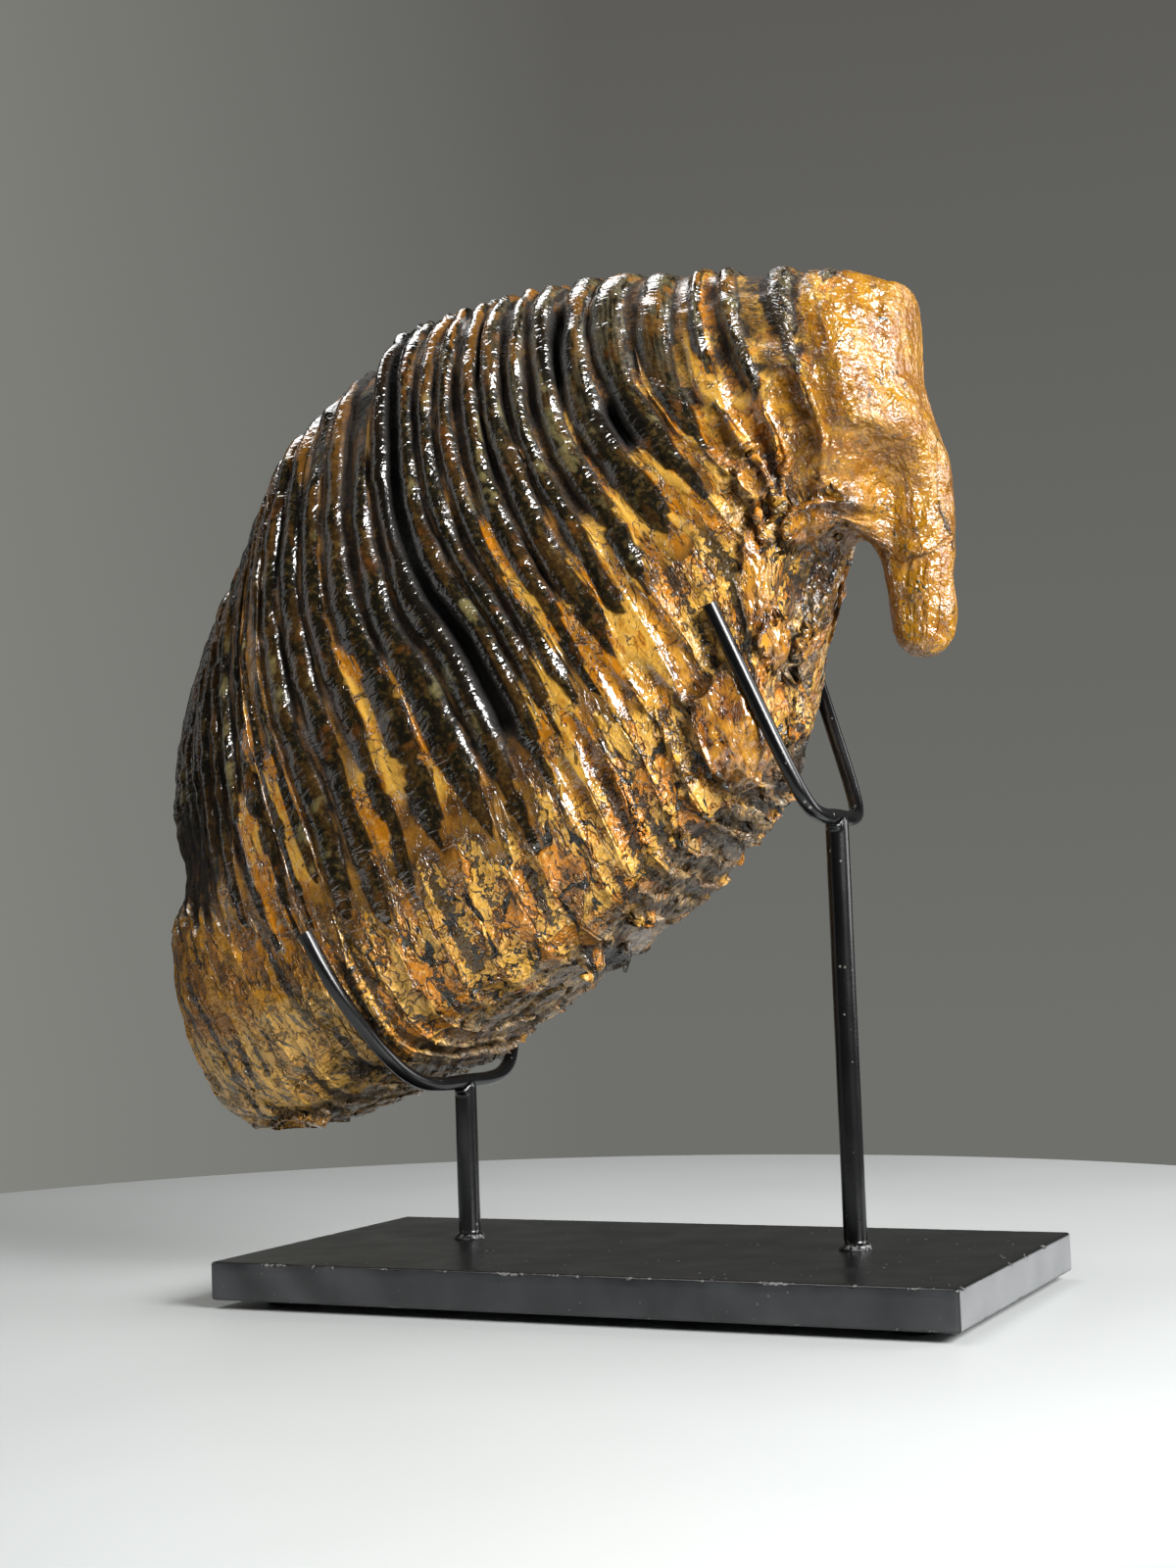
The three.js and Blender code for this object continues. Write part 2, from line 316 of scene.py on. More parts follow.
# Points along a wire's middle line, evenly spaced, from the near tip round to the far tip.
def wireLine(cradle, count):
    corners = [(-out, up) for out, up in reversed(cradle["outline"][1:])] + cradle["outline"]
    corners = np.array(corners, float)
    padded = np.vstack([2 * corners[0] - corners[1], corners, 2 * corners[-1] - corners[-2]])
    knots = np.concatenate([[0], np.cumsum(np.linalg.norm(np.diff(padded, axis=0), axis=1) ** 0.5)])
    line = []
    for i in range(1, len(padded) - 2):
        t0, t1, t2, t3 = knots[i - 1:i + 3]
        p0, p1, p2, p3 = padded[i - 1:i + 3]
        t = np.linspace(t1, t2, wire["curveSteps"], endpoint=False)[:, None]
        a1 = (t1 - t) / (t1 - t0) * p0 + (t - t0) / (t1 - t0) * p1
        a2 = (t2 - t) / (t2 - t1) * p1 + (t - t1) / (t2 - t1) * p2
        a3 = (t3 - t) / (t3 - t2) * p2 + (t - t2) / (t3 - t2) * p3
        b1 = (t2 - t) / (t2 - t0) * a1 + (t - t0) / (t2 - t0) * a2
        b2 = (t3 - t) / (t3 - t1) * a2 + (t - t1) / (t3 - t1) * a3
        line.append((t2 - t) / (t2 - t1) * b1 + (t - t1) / (t2 - t1) * b2)
    line = np.vstack(line + [corners[-1:]])
    travelled = np.concatenate([[0], np.cumsum(np.linalg.norm(np.diff(line, axis=0), axis=1))])
    ends = travelled[-1]
    even = np.concatenate([[0, wire["chamfer"]], np.linspace(1, ends - 1, count),
                           [ends - wire["chamfer"], ends]])
    out = np.interp(even, travelled, line[:, 0])
    up = np.interp(even, travelled, line[:, 1])
    x = cradle["postX"] - up * math.sin(cradle["lean"])
    return np.stack([x, wire["midY"] + out, cradle["bottomZ"] + up * math.cos(cradle["lean"])], axis=-1)


# Steel bar with satin black powder coat: deep grey-black, a fine orange-peel skin and broad soft highlights.
# The coat is rubbed to grey specks along the edges and welds, dust lies on it, and the plate's front shows
# faint swirls. The plate's front face is also painted lighter grey as a painted reflection of the table, and
# its end face paler grey as a painted sheen.
def coatMaterial():
    material, tree = newMaterial("powderCoatedSteel")
    place = put(tree, "ShaderNodeTexCoord", out="Object")
    normal = put(tree, "ShaderNodeNewGeometry", out="True Normal")
    worn = put(tree, "ShaderNodeAttribute", attribute_name="worn", out="Fac")
    peel = put(tree, "ShaderNodeTexNoise", {"Vector": place, "Scale": 1 / (0.9 * mm), "Detail": 2})
    patch = put(tree, "ShaderNodeTexNoise", {"Vector": place, "Scale": 1 / (14 * mm), "Detail": 5})
    black = put(tree, "ShaderNodeMix", {0: patch, 6: "#060607", 7: "#111112"}, out=2, data_type="RGBA")
    dustSpot = put(tree, "ShaderNodeTexVoronoi", {"Vector": place, "Scale": 1 / (3.5 * mm)})
    dustSize = put(tree, "ShaderNodeMapRange",
                   {"Value": patch, "From Min": 0.35, "From Max": 0.7, "To Min": 0.02, "To Max": 0.17})
    dust = put(tree, "ShaderNodeMapRange", {"Value": dustSpot, "From Max": dustSize, "To Min": 0.8,
                                            "To Max": 0})
    dusted = put(tree, "ShaderNodeMix", {0: dust, 6: black, 7: "#aaa79d"}, out=2, data_type="RGBA")
    speck = put(tree, "ShaderNodeTexNoise", {"Vector": place, "Scale": 1 / (0.8 * mm), "Detail": 3})
    rubbed = put(tree, "ShaderNodeMath", {0: speck, 1: worn}, operation="MULTIPLY")
    bare = put(tree, "ShaderNodeMapRange", {"Value": rubbed, "From Min": 0.4, "From Max": 0.46,
                                            "To Max": 0.7})
    rubbedGrey = put(tree, "ShaderNodeMix", {0: bare, 6: dusted, 7: "#7d7d7b"}, out=2, data_type="RGBA")

    swirlPlace = put(tree, "ShaderNodeVectorMath", {0: place, 1: (0.118, 0, 0.03)}, operation="ADD")
    swirl = put(tree, "ShaderNodeTexWave", {"Vector": swirlPlace, "Scale": 16, "Distortion": 2.5, "Detail": 2,
                                            "Detail Scale": 3}, out="Fac", wave_type="RINGS",
                rings_direction="Y")
    # painted sheen: the plate's end face, lit from that side, is painted a paler grey
    endward = put(tree, "ShaderNodeSeparateXYZ", {0: normal}, out="X")
    onEnd = put(tree, "ShaderNodeMapRange", {"Value": endward, "From Min": 0.9, "From Max": 1, "To Max": 0.8})
    low = put(tree, "ShaderNodeSeparateXYZ", {0: place}, out="Z")
    onPlate = put(tree, "ShaderNodeMapRange", {"Value": low, "From Min": 14 * mm, "From Max": 12 * mm})
    litEndShare = put(tree, "ShaderNodeMath", {0: onEnd, 1: onPlate}, operation="MULTIPLY")
    facing = put(tree, "ShaderNodeSeparateXYZ", {0: normal}, out="Y")
    front = put(tree, "ShaderNodeMapRange", {"Value": facing, "From Min": -0.7, "From Max": -1})
    across = put(tree, "ShaderNodeSeparateXYZ", {0: place}, out="X")
    leftward = put(tree, "ShaderNodeMapRange",
                   {"Value": across, "From Min": 0, "From Max": -0.06, "To Max": 0.2})
    rings = put(tree, "ShaderNodeMath", {0: swirl, 1: leftward}, operation="MULTIPLY")
    swept = put(tree, "ShaderNodeMath", {0: rings, 1: front}, operation="MULTIPLY")
    # painted reflection: the plate's front face is painted a lighter grey in patches for the white table it
    # reflects
    frontPlate = put(tree, "ShaderNodeMath", {0: front, 1: onPlate}, operation="MULTIPLY")
    frontReflectionShare = put(tree, "ShaderNodeMath", {0: frontPlate, 1: patch}, operation="MULTIPLY")
    frontReflectionGrey = put(tree, "ShaderNodeMix", {0: frontReflectionShare, 6: rubbedGrey, 7: "#47484a"}, out=2, data_type="RGBA")
    sweptGrey = put(tree, "ShaderNodeMix", {0: swept, 6: frontReflectionGrey, 7: "#77777a"}, out=2, data_type="RGBA")
    paintedEndSheen = put(tree, "ShaderNodeMix", {0: patch, 6: "#5d5e60", 7: "#8a8b8d"}, out=2, data_type="RGBA")
    colour = put(tree, "ShaderNodeMix", {0: litEndShare, 6: sweptGrey, 7: paintedEndSheen}, out=2, data_type="RGBA")
    dullest = put(tree, "ShaderNodeMapRange", {"Value": onPlate, "To Min": 0.27, "To Max": 0.48})
    rough = put(tree, "ShaderNodeMapRange", {"Value": patch, "To Min": 0.2, "To Max": dullest})
    roughBare = put(tree, "ShaderNodeMath", {0: bare, 1: 0.2, 2: rough}, operation="MULTIPLY_ADD")
    skin = put(tree, "ShaderNodeBump", {"Strength": 0.35, "Distance": 0.05 * mm, "Height": peel})
    shader = put(tree, "ShaderNodeBsdfPrincipled", {
        "Base Color": colour, "Roughness": roughBare, "Normal": skin, "IOR": 1.5,
    })
    put(tree, "ShaderNodeOutputMaterial", {"Surface": shader})
    return material


# A round bar swept along a line, cut square at both ends with a small chamfer.
def barTree(material):
    tree, size = newTree("bentBar", {"Radius": 0.002, "Sides": 24, "Chamfer": 0.0003})
    curve = put(tree, "GeometryNodeMeshToCurve", {0: size["Geometry"]})
    length = put(tree, "GeometryNodeSplineParameter", out="Length")
    whole = put(tree, "GeometryNodeSplineLength")
    left = put(tree, "ShaderNodeMath", {0: whole, 1: length}, operation="SUBTRACT")
    nearEnd = put(tree, "ShaderNodeMath", {0: length, 1: left}, operation="MINIMUM")
    share = put(tree, "ShaderNodeMapRange", {"Value": nearEnd, "From Max": size["Chamfer"],
                                             "To Min": 0.86, "To Max": 1.0})
    shaped = put(tree, "GeometryNodeSetCurveRadius", {0: curve, "Radius": share})
    outline = put(tree, "GeometryNodeCurvePrimitiveCircle",
                  {"Resolution": size["Sides"], "Radius": size["Radius"]})
    bar = put(tree, "GeometryNodeCurveToMesh", {"Curve": shaped, "Profile Curve": outline, "Fill Caps": True})
    corners = put(tree, "GeometryNodeInputMeshFaceNeighbors", out="Vertex Count")
    side = put(tree, "FunctionNodeCompare", {2: corners, 3: 4}, data_type="INT", operation="EQUAL")
    rounded = put(tree, "GeometryNodeSetShadeSmooth", {"Geometry": bar, "Shade Smooth": side})
    endTree(tree, rounded, material)
    return tree


def addWires(coat):
    tree = barTree(coat)
    for key in ("low", "high"):
        line = toWorld(wireLine(wire[key], wire["steps"]))
        path = bpy.data.meshes.new("wirePath")
        path.from_pydata(line.tolist(), [(k, k + 1) for k in range(len(line) - 1)], [])
        piece = addObject("bentWireCradle" + key.capitalize(), path)
        runTree(piece, tree, {
            "Radius": wire["radius"] * mm, "Sides": wire["sides"], "Chamfer": wire["chamfer"] * mm,
        })
        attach(piece, "root")
        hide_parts(wire[key]["node"])
        print(piece.name, len(piece.data.polygons), "faces")


coat = coatMaterial()
addWires(coat)

# Base plate: flat bar with eased edges, its coat chipped along them
plate = {
    "size": (205.0, 100.0, 10.0),
    "corner": 1.2,
    "edge": 0.8,
    "edgeSteps": 4,
    "spacing": 1.5,
    "chip": 0.3,
    "sideLevels": (-7.5, -5, -2.5),
    "topScales": (0.985, 0.96, 0.8, 0.5, 0.2, 0.05),
}


# The bar's outline seen from above, with the outward direction at each point.
def barOutline():
    halfX, halfY = plate["size"][0] / 2 - plate["corner"], plate["size"][1] / 2 - plate["corner"]
    points, outward = [], []
    corners = ((halfX, halfY), (-halfX, halfY), (-halfX, -halfY), (halfX, -halfY))
    for turn, (cornerX, cornerY) in enumerate(corners):
        for angle in np.radians(np.linspace(90 * turn, 90 * turn + 90, 6)):
            outward.append((math.cos(angle), math.sin(angle)))
            outX, outY = plate["corner"] * math.cos(angle), plate["corner"] * math.sin(angle)
            points.append((cornerX + outX, cornerY + outY))
        side = (2 * halfX, 2 * halfY)[turn % 2]
        steps = int(side / plate["spacing"])
        heading = np.array((-math.sin(angle), math.cos(angle)))
        for k in range(1, steps):
            outward.append(outward[-1])
            points.append(np.array(points[-1]) + heading * side / steps)
    return np.array(points), np.array(outward)


def addPlate(coat):
    outline, outward = barOutline()
    edge, thick = plate["edge"], plate["size"][2]
    bends = np.linspace(0, math.pi / 2, plate["edgeSteps"] + 1)
    levels = [(edge * (1 - math.sin(a)), edge * (1 - math.cos(a)) - thick, 0.3 + 0.7 * math.sin(2 * a))
              for a in bends]
    levels += [(0, z, 0) for z in plate["sideLevels"]]
    levels += [(edge * (1 - math.cos(a)), edge * (math.sin(a) - 1), 0.3 + 0.7 * math.sin(2 * a))
               for a in bends]
    loops, worn = [], []
    for scale in reversed(plate["topScales"][2:]):
        loops.append(np.column_stack([outline * scale, np.full(len(outline), -thick)]))
        worn.append(np.zeros(len(outline)))
    for inset, z, onEdge in levels:
        x, y = outline.T
        chipped = smooth(0.25, 0.7, drift(x / 2.2, y / 2.2, z / 3)) * onEdge
        shifted = outline - outward * (inset + plate["chip"] * chipped)[:, None]
        heights = np.full(len(outline), z) - 0.4 * plate["chip"] * chipped * (z > -2)
        loops.append(np.column_stack([shifted, heights]))
        worn.append(np.full(len(outline), float(onEdge > 0)) * (0.55 + 0.45 * chipped))
    for scale in plate["topScales"]:
        loops.append(np.column_stack([(outline - outward * edge) * scale, np.zeros(len(outline))]))
        worn.append(np.zeros(len(outline)))
    mesh = skinRings("basePlate", toWorld(loops), coat)
    setAttribute(mesh, "worn", np.array(worn))
    piece = addObject("basePlate", mesh)
    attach(piece, "root")
    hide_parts("base_plate")
    print("base plate:", len(mesh.polygons), "faces")


# Posts: round rod welded to the plate, with a saddle at the top for the wire
post = {
    "radius": 3.05,
    "sides": 48,
    "beadRadius": 1.15,
    "beadHeight": 1.7,
    "ringGap": 2.5,
    "topLength": 5,
    "saddle": 2.15,
    "saddleDrop": 0.25,
    "shoulder": 0.5,
    "weld": 0.75,
    "weldDrop": 2.6,
    "weldLength": 0.9,
    "wornTop": 3.2,
    "capRadii": (2.9, 2.5, 2.0, 1.4, 0.7),
}


def addPost(cradle, node, name, coat):
    top = cradle["bottomZ"]
    angle = np.linspace(0, 2 * math.pi, post["sides"], endpoint=False)
    heights = np.concatenate([
        np.linspace(0, post["beadHeight"], 8),
        np.arange(post["beadHeight"] + 1, top - post["topLength"] - 2, post["ringGap"]),
        np.linspace(top - post["topLength"], top, 16),
    ])

    def saddleHeight(x):
        return top - post["saddleDrop"] - np.sqrt(np.clip(post["saddle"]**2 - x**2, 0, None))

    loops = []
    for z in heights:
        bead = post["beadRadius"] * math.sqrt(max(0, 1 - (z / post["beadHeight"]) ** 2))
        lumps = 1 + 0.22 * drift(np.cos(angle) * 3, np.sin(angle) * 3, top + z / 2)
        ripple = 0.05 * drift(np.cos(angle) * 1.5, np.sin(angle) * 1.5, top + z / 5)
        shoulder = post["shoulder"] * float(smooth(top - 1.5, top, z))
        underWire = np.exp(-(np.abs(np.sin(angle)) - 1) ** 2 / 0.05)
        onWeld = underWire * math.exp(-((z - top + post["weldDrop"]) / post["weldLength"]) ** 2)
        radius = post["radius"] + bead * lumps + ripple - shoulder + post["weld"] * onWeld * lumps
        x = radius * np.cos(angle)
        loops.append(np.column_stack([x, radius * np.sin(angle), np.minimum(z, saddleHeight(x))]))
    for radius in post["capRadii"]:
        x = (radius - post["shoulder"]) * np.cos(angle)
        loops.append(np.column_stack([x, (radius - post["shoulder"]) * np.sin(angle), saddleHeight(x)]))
    points = np.array(loops) + (cradle["postX"], wire["midY"], 0)
    mesh = skinRings(name, toWorld(points), coat)
    onBead = points[..., 2] < post["beadHeight"]
    atTop = points[..., 2] > top - post["wornTop"]
    setAttribute(mesh, "worn", 0.8 * onBead + 0.6 * atTop)
    piece = addObject(name, mesh)
    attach(piece, "root")
    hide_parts(node)
    print(name, len(mesh.polygons), "faces")


addPlate(coat)
addPost(wire["low"], "post_short", "shortPost", coat)
addPost(wire["high"], "post_tall", "tallPost", coat)


# Moulded rubber: matt near-black with a slight bloom.
def rubberMaterial():
    material, tree = newMaterial("mouldedRubber")
    place = put(tree, "ShaderNodeTexCoord", out="Object")
    bloom = put(tree, "ShaderNodeTexNoise", {"Vector": place, "Scale": 1 / (3 * mm), "Detail": 3})
    colour = put(tree, "ShaderNodeMix", {0: bloom, 6: "#121212", 7: "#262625"}, out=2, data_type="RGBA")
    skin = put(tree, "ShaderNodeBump", {"Strength": 0.3, "Distance": 0.05 * mm, "Height": bloom})
    shader = put(tree, "ShaderNodeBsdfPrincipled", {"Base Color": colour, "Roughness": 0.75, "Normal": skin})
    put(tree, "ShaderNodeOutputMaterial", {"Surface": shader})
    return material


rubber = rubberMaterial()
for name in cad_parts:
    if "foot" in name:
        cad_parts[name].material_slots[0].material = rubber
print("stand ready")

# Tooth: guide plates as (x, z) from the chewing edge down to the root, and half widths at three heights
tooth = {
    "midY": 7.0,
    "lastPlace": 26.0,
    "rows": 296,
    "farSpacing": 1.7,
    "frontRound": 0.55,
    "tuck": 5.0,
    "prongShift": 10.0,
    "prongFrom": (192, 174),
    "backCap": 1.0,
    "frontCap": 4.0,
    "capLoops": 9,
    "crownRound": 0.5,
    "sideRound": 0.6,
    "typicalHeight": 140,
    "typicalHalf": 38,
    "placeWidth": 8.8,
    "marks": ("enamel", "ochre", "root", "cement", "crease", "gap", "stain", "place", "depth", "down",
              "lump"),
    "guides": [
        {"at": 0, "crown": (-136, 150), "upper": (-135.5, 118), "lower": (-138, 82), "root": (-127, 38),
         "half": (10, 14, 11)},
        {"at": 1, "crown": (-133, 157), "upper": (-132.5, 120), "lower": (-134, 81), "root": (-119, 32),
         "half": (20, 28, 23)},
        {"at": 2.5, "crown": (-125, 171), "upper": (-124, 128), "lower": (-122, 83), "root": (-102, 31),
         "half": (28, 39, 33), "hollow": 0.02},
        {"at": 4.5, "crown": (-109, 197), "upper": (-109, 143), "lower": (-99, 93), "root": (-78, 37),
         "half": (33, 46, 41), "hollow": 0.02},
        {"at": 7, "crown": (-88, 229), "upper": (-91, 166), "lower": (-73, 106), "root": (-50, 49),
         "half": (35, 47, 41), "hollow": 0.03},
        {"at": 10, "crown": (-61, 252), "upper": (-55, 189), "lower": (-31, 127), "root": (-11, 68),
         "half": (35, 46, 35), "hollow": 0.05},
        {"at": 13, "crown": (-36, 258), "upper": (-29, 203), "lower": (0, 145), "root": (19, 88),
         "half": (35, 43, 29), "hollow": 0.06},
        {"at": 16, "crown": (-9, 260), "upper": (-3, 214), "lower": (26, 162), "root": (39, 110),
         "half": (34, 37, 24), "hollow": 0.05},
        {"at": 18.5, "crown": (12, 259), "upper": (17, 222), "lower": (47, 177), "root": (45, 127),
         "half": (33, 32, 22), "front": 0.92, "hollow": 0.02},
        {"at": 20.5, "crown": (29, 257), "upper": (36, 220), "lower": (53, 188), "root": (48, 149),
         "half": (31, 30, 21), "front": 0.9, "hollow": 0.01},
        {"at": 22.5, "crown": (47, 255), "upper": (53, 229), "lower": (61, 201), "root": (54, 168),
         "half": (29, 29, 20), "front": 0.86, "back": 0.97, "hollow": 0.01},
        {"at": 24.1, "crown": (64, 252), "upper": (68, 226), "lower": (73, 205), "root": (70, 186),
         "half": (27, 28, 20)},
        {"at": 24.7, "crown": (70, 251), "upper": (74, 224), "lower": (79, 200), "root": (77, 156),
         "half": (26, 27, 22), "front": 0.84, "tip": 0.1},
        {"at": 26, "crown": (81, 247), "upper": (81, 222), "lower": (87, 193), "root": (84, 150),
         "half": (22, 23, 20), "front": 0.78, "tip": 0.16},
    ],
}

# Enamel ridges along the row. at: middle and half: half width, in guide places. ends: how far down the enamel
# reaches. ochre and gap: where the strip to its right is filled high with ochre cement, or open and deep.
ridges = [
    {"at": 0.35, "half": 0.23, "ends": 0.6},
    {"at": 0.95, "half": 0.23, "ends": 0.61},
    {"at": 1.55, "half": 0.23, "ends": 0.62},
    {"at": 2.12, "half": 0.22, "ends": 0.62},
    {"at": 2.68, "half": 0.22, "ends": 0.63},
    {"at": 3.2, "half": 0.2, "ends": 0.64},
    {"at": 3.65, "half": 0.18, "ends": 0.66},
    {"at": 4.12, "half": 0.21, "ends": 0.7, "ochre": (0.6, 0.72)},
    {"at": 4.68, "half": 0.23, "ends": 0.73},
    {"at": 5.3, "half": 0.24, "ends": 0.76, "ochre": (0.5, 0.74)},
    {"at": 5.97, "half": 0.25, "ends": 0.77, "ochre": (0.38, 0.5)},
    {"at": 6.46, "half": 0.14, "ends": 0.77, "ochre": (0.5, 0.69)},
    {"at": 6.86, "half": 0.13, "ends": 0.79},
    {"at": 7.32, "half": 0.25, "ends": 0.81},
    {"at": 7.92, "half": 0.22, "ends": 0.81, "ochre": (0.59, 0.72)},
    {"at": 8.46, "half": 0.2, "ends": 0.8, "ochre": (0.43, 0.66)},
    {"at": 9.06, "half": 0.21, "ends": 0.81, "ochre": (0.48, 0.7)},
    {"at": 9.75, "half": 0.28, "ends": 0.79, "ochre": (0.1, 0.22)},
    {"at": 10.5, "half": 0.32, "ends": 0.8, "gap": (0.0, 0.66)},
    {"at": 11.5, "half": 0.35, "ends": 0.79, "ochre": (0.63, 0.8)},
    {"at": 12.35, "half": 0.31, "ends": 0.79, "ochre": (0.6, 0.78)},
    {"at": 13.05, "half": 0.27, "ends": 0.77, "ochre": (0.4, 0.62)},
    {"at": 13.8, "half": 0.3, "ends": 0.76, "ochre": (0.56, 0.74)},
    {"at": 14.6, "half": 0.31, "ends": 0.71, "ochre": (0.52, 0.75)},
    {"at": 15.32, "half": 0.25, "ends": 0.74, "ochre": (0.48, 0.8)},
    {"at": 16.15, "half": 0.37, "ends": 0.63, "gap": (0.12, 0.26), "ochre": (0.3, 0.6)},
    {"at": 17.2, "half": 0.5, "ends": 0.63, "gap": (0.34, 0.42), "ochre": (0.43, 0.6)},
    {"at": 18.5, "half": 0.56, "ends": 0.58, "ochre": (0.28, 0.5)},
    {"at": 19.8, "half": 0.5, "ends": 0.5, "ochre": (0.2, 0.5)},
    {"at": 21.0, "half": 0.15, "ends": 0.42, "ochre": (0.02, 0.6)},
    {"at": 21.9, "half": 0.24, "ends": 0.5, "ochre": (0.02, 0.6)},
    {"at": 23.35, "half": 0.28, "ends": 0.46, "ochre": (0.02, 0.6)},
    {"at": 24.45, "half": 0.16, "ends": 0.17, "ochre": (0.02, 0.6)},
    {"at": 25.05, "half": 0.16, "ends": 0.02},
    {"at": 25.6, "half": 0.16, "ends": 0.02},
]

# Bends in the run of the ridges on the near side: about a place, over a stretch of height, by so many places.
bends = [
    {"at": 10.6, "spread": 1.5, "down": (0.42, 0.56), "by": 0.42},
    {"at": 14.6, "spread": 2.4, "down": (0.62, 0.8), "by": 0.5},
    {"at": 14.0, "spread": 1.5, "down": (0.3, 0.5), "by": -0.15},
]

# Depths of the relief below the tooth's envelope, in millimetres. columns: mesh columns over a ridge, from
# the middle of one groove to the next, with the ridge inside edge.
relief = {
    "columns": (-1, -0.86, -0.7, -0.45, -0.15, 0.15, 0.45, 0.7, 0.86),
    "edge": 0.76,
    "roundness": 2.0,
    "swell": 1.3,
    "crowding": 0.9,
    "leastStep": 0.006,
    "rise": 1.1,
    "riseLimits": (1.4, 3.2),
    "groove": 1.6,
    "gap": 3.6,
    "fillHigh": 1.0,
    "fillLow": 0.55,
    "ochreFill": 0.45,
    "rootGroove": 1.8,
    "rearStep": 5.0,
    "rearSwell": 2.6,
    "knobs": 1.3,
    "knobGap": 9,
    "tipDrop": 1.4,
    "wornFrom": (15, 17.5),
    "lift": 1.6,
    "crownTips": ((7.2, 0.7, 2.2), (9.8, 0.45, -3.5), (10.5, 0.35, 1.5)),
    "grain": 0.35,
    "rootGrain": 1.1,
    "underGrain": 2.6,
    "frontGrain": 1.7,
    "relaxRounds": 30,
    "crackDepth": 1.1,
    "chipDepth": 1.5,
}

# The front root's middle line, its radius above and below, and between which places and heights it sets in.
prong = {
    "axis": ((79.0, 15, 212), (80.4, 19, 160)),
    "radii": (12.6, 9.4),
    "places": (23.9, 24.6),
    "heights": (210, 188),
}

# Local shapes: points within reach of the line from one place to another move by pull, in millimetres, and
# stain darkens the same spot.
sculpt = [
    {"from": (-4, -28, 99), "to": (-5, -25, 88), "reach": 5, "pull": (0, 2, 0), "stain": 1},
    {"from": (-73, -27, 49), "to": (-68, -22, 46), "reach": 8, "pull": (0, 1.5, 1), "stain": 1},
    {"from": (-31, -25, 70), "to": (-28, -22, 66), "reach": 6, "pull": (0, 1.5, 0), "stain": 0.7},
    {"from": (29, -11, 104), "to": (36, -2, 112), "reach": 7, "pull": (-1, 1, 1), "stain": 0.6},
    {"from": (82, -15, 196), "to": (80, -10, 185), "reach": 5, "pull": (1, 3, 0), "stain": 1},
    {"from": (79, 8, 170), "to": (80, 9, 158), "reach": 5, "pull": (0, 0.6, 0), "stain": 0.5},
]

# Round lumps and hollows: an oval at a place, facing toward, turned in its own plane, that rises or sinks.
# stain and ochre paint it.
lumps = [
    {"at": (41, -17, 133), "toward": (0.37, -0.92, -0.13), "radii": (12, 18), "turn": 14, "rise": 6,
     "ochre": 1.3},
    {"at": (44.5, 14, 140), "toward": (0.42, -0.9, -0.12), "radii": (9, 10), "turn": 0, "rise": 9,
     "stain": 0.42},
    {"at": (49, -19, 168), "toward": (0.37, -0.92, -0.1), "radii": (5, 17), "turn": 6, "rise": 3.5,
     "ochre": 1.2},
    {"at": (51, -11, 155), "toward": (0.45, -0.88, -0.2), "radii": (6, 7.5), "turn": 0, "rise": 5.5,
     "ochre": 1.2},
    {"at": (52, 10, 158), "toward": (0.5, -0.8, -0.3), "radii": (5.5, 7), "turn": 0, "rise": 6, "ochre": 1.1},
    {"at": (57, 6, 171), "toward": (0.4, -0.9, -0.1), "radii": (8, 12), "turn": -30, "rise": -5, "stain": 1},
    {"at": (61, -9, 185), "toward": (0.4, -0.9, -0.2), "radii": (9, 7), "turn": 20, "rise": 4, "ochre": 0.9},
    {"at": (71, -10, 190), "toward": (0.5, -0.8, -0.3), "radii": (5, 4), "turn": 0, "rise": 3, "stain": 0.8},
    {"at": (50, -22, 196), "toward": (0.3, -0.95, 0), "radii": (5, 9), "turn": 25, "rise": 2.5, "ochre": 0.8},
    {"at": (-6, -6, 79), "toward": (0.1, -0.25, -1), "radii": (4.5, 5), "turn": 0, "rise": 8},
    {"at": (6, -4, 87), "toward": (0.5, -0.3, -0.8), "radii": (4, 6), "turn": 0, "rise": 4},
    {"at": (-97, -9, 36), "toward": (-0.2, -0.4, -0.9), "radii": (9, 7), "turn": 0, "rise": 4, "ochre": 0.8},
]

# What every lump shares: how far behind and before its plane it takes hold, how flat the ground under it is
# made, and the depth and width of the crease round it.
lumpShape = {
    "behind": (-16, -11),
    "before": (17, 12),
    "flatten": 0.85,
    "crease": 0.8,
    "creaseWidth": 0.13,
}


def alongRow(place, values):
    at = np.array([g["at"] for g in tooth["guides"]], float)
    values = np.array(values, float)
    last = len(at) - 1
    lower = np.maximum(np.arange(last + 1) - 1, 0)
    upper = np.minimum(np.arange(last + 1) + 1, last)
    slopes = (values[upper] - values[lower]) / (at[upper] - at[lower])
    i = np.clip(np.searchsorted(at, place, side="right") - 1, 0, last - 1)
    step = at[i + 1] - at[i]
    s = (place - at[i]) / step
    rising = s * s * (3 - 2 * s)
    return (values[i] + (values[i + 1] - values[i]) * rising
            + (s**3 - 2 * s**2 + s) * step * slopes[i] + (s**3 - s**2) * step * slopes[i + 1])


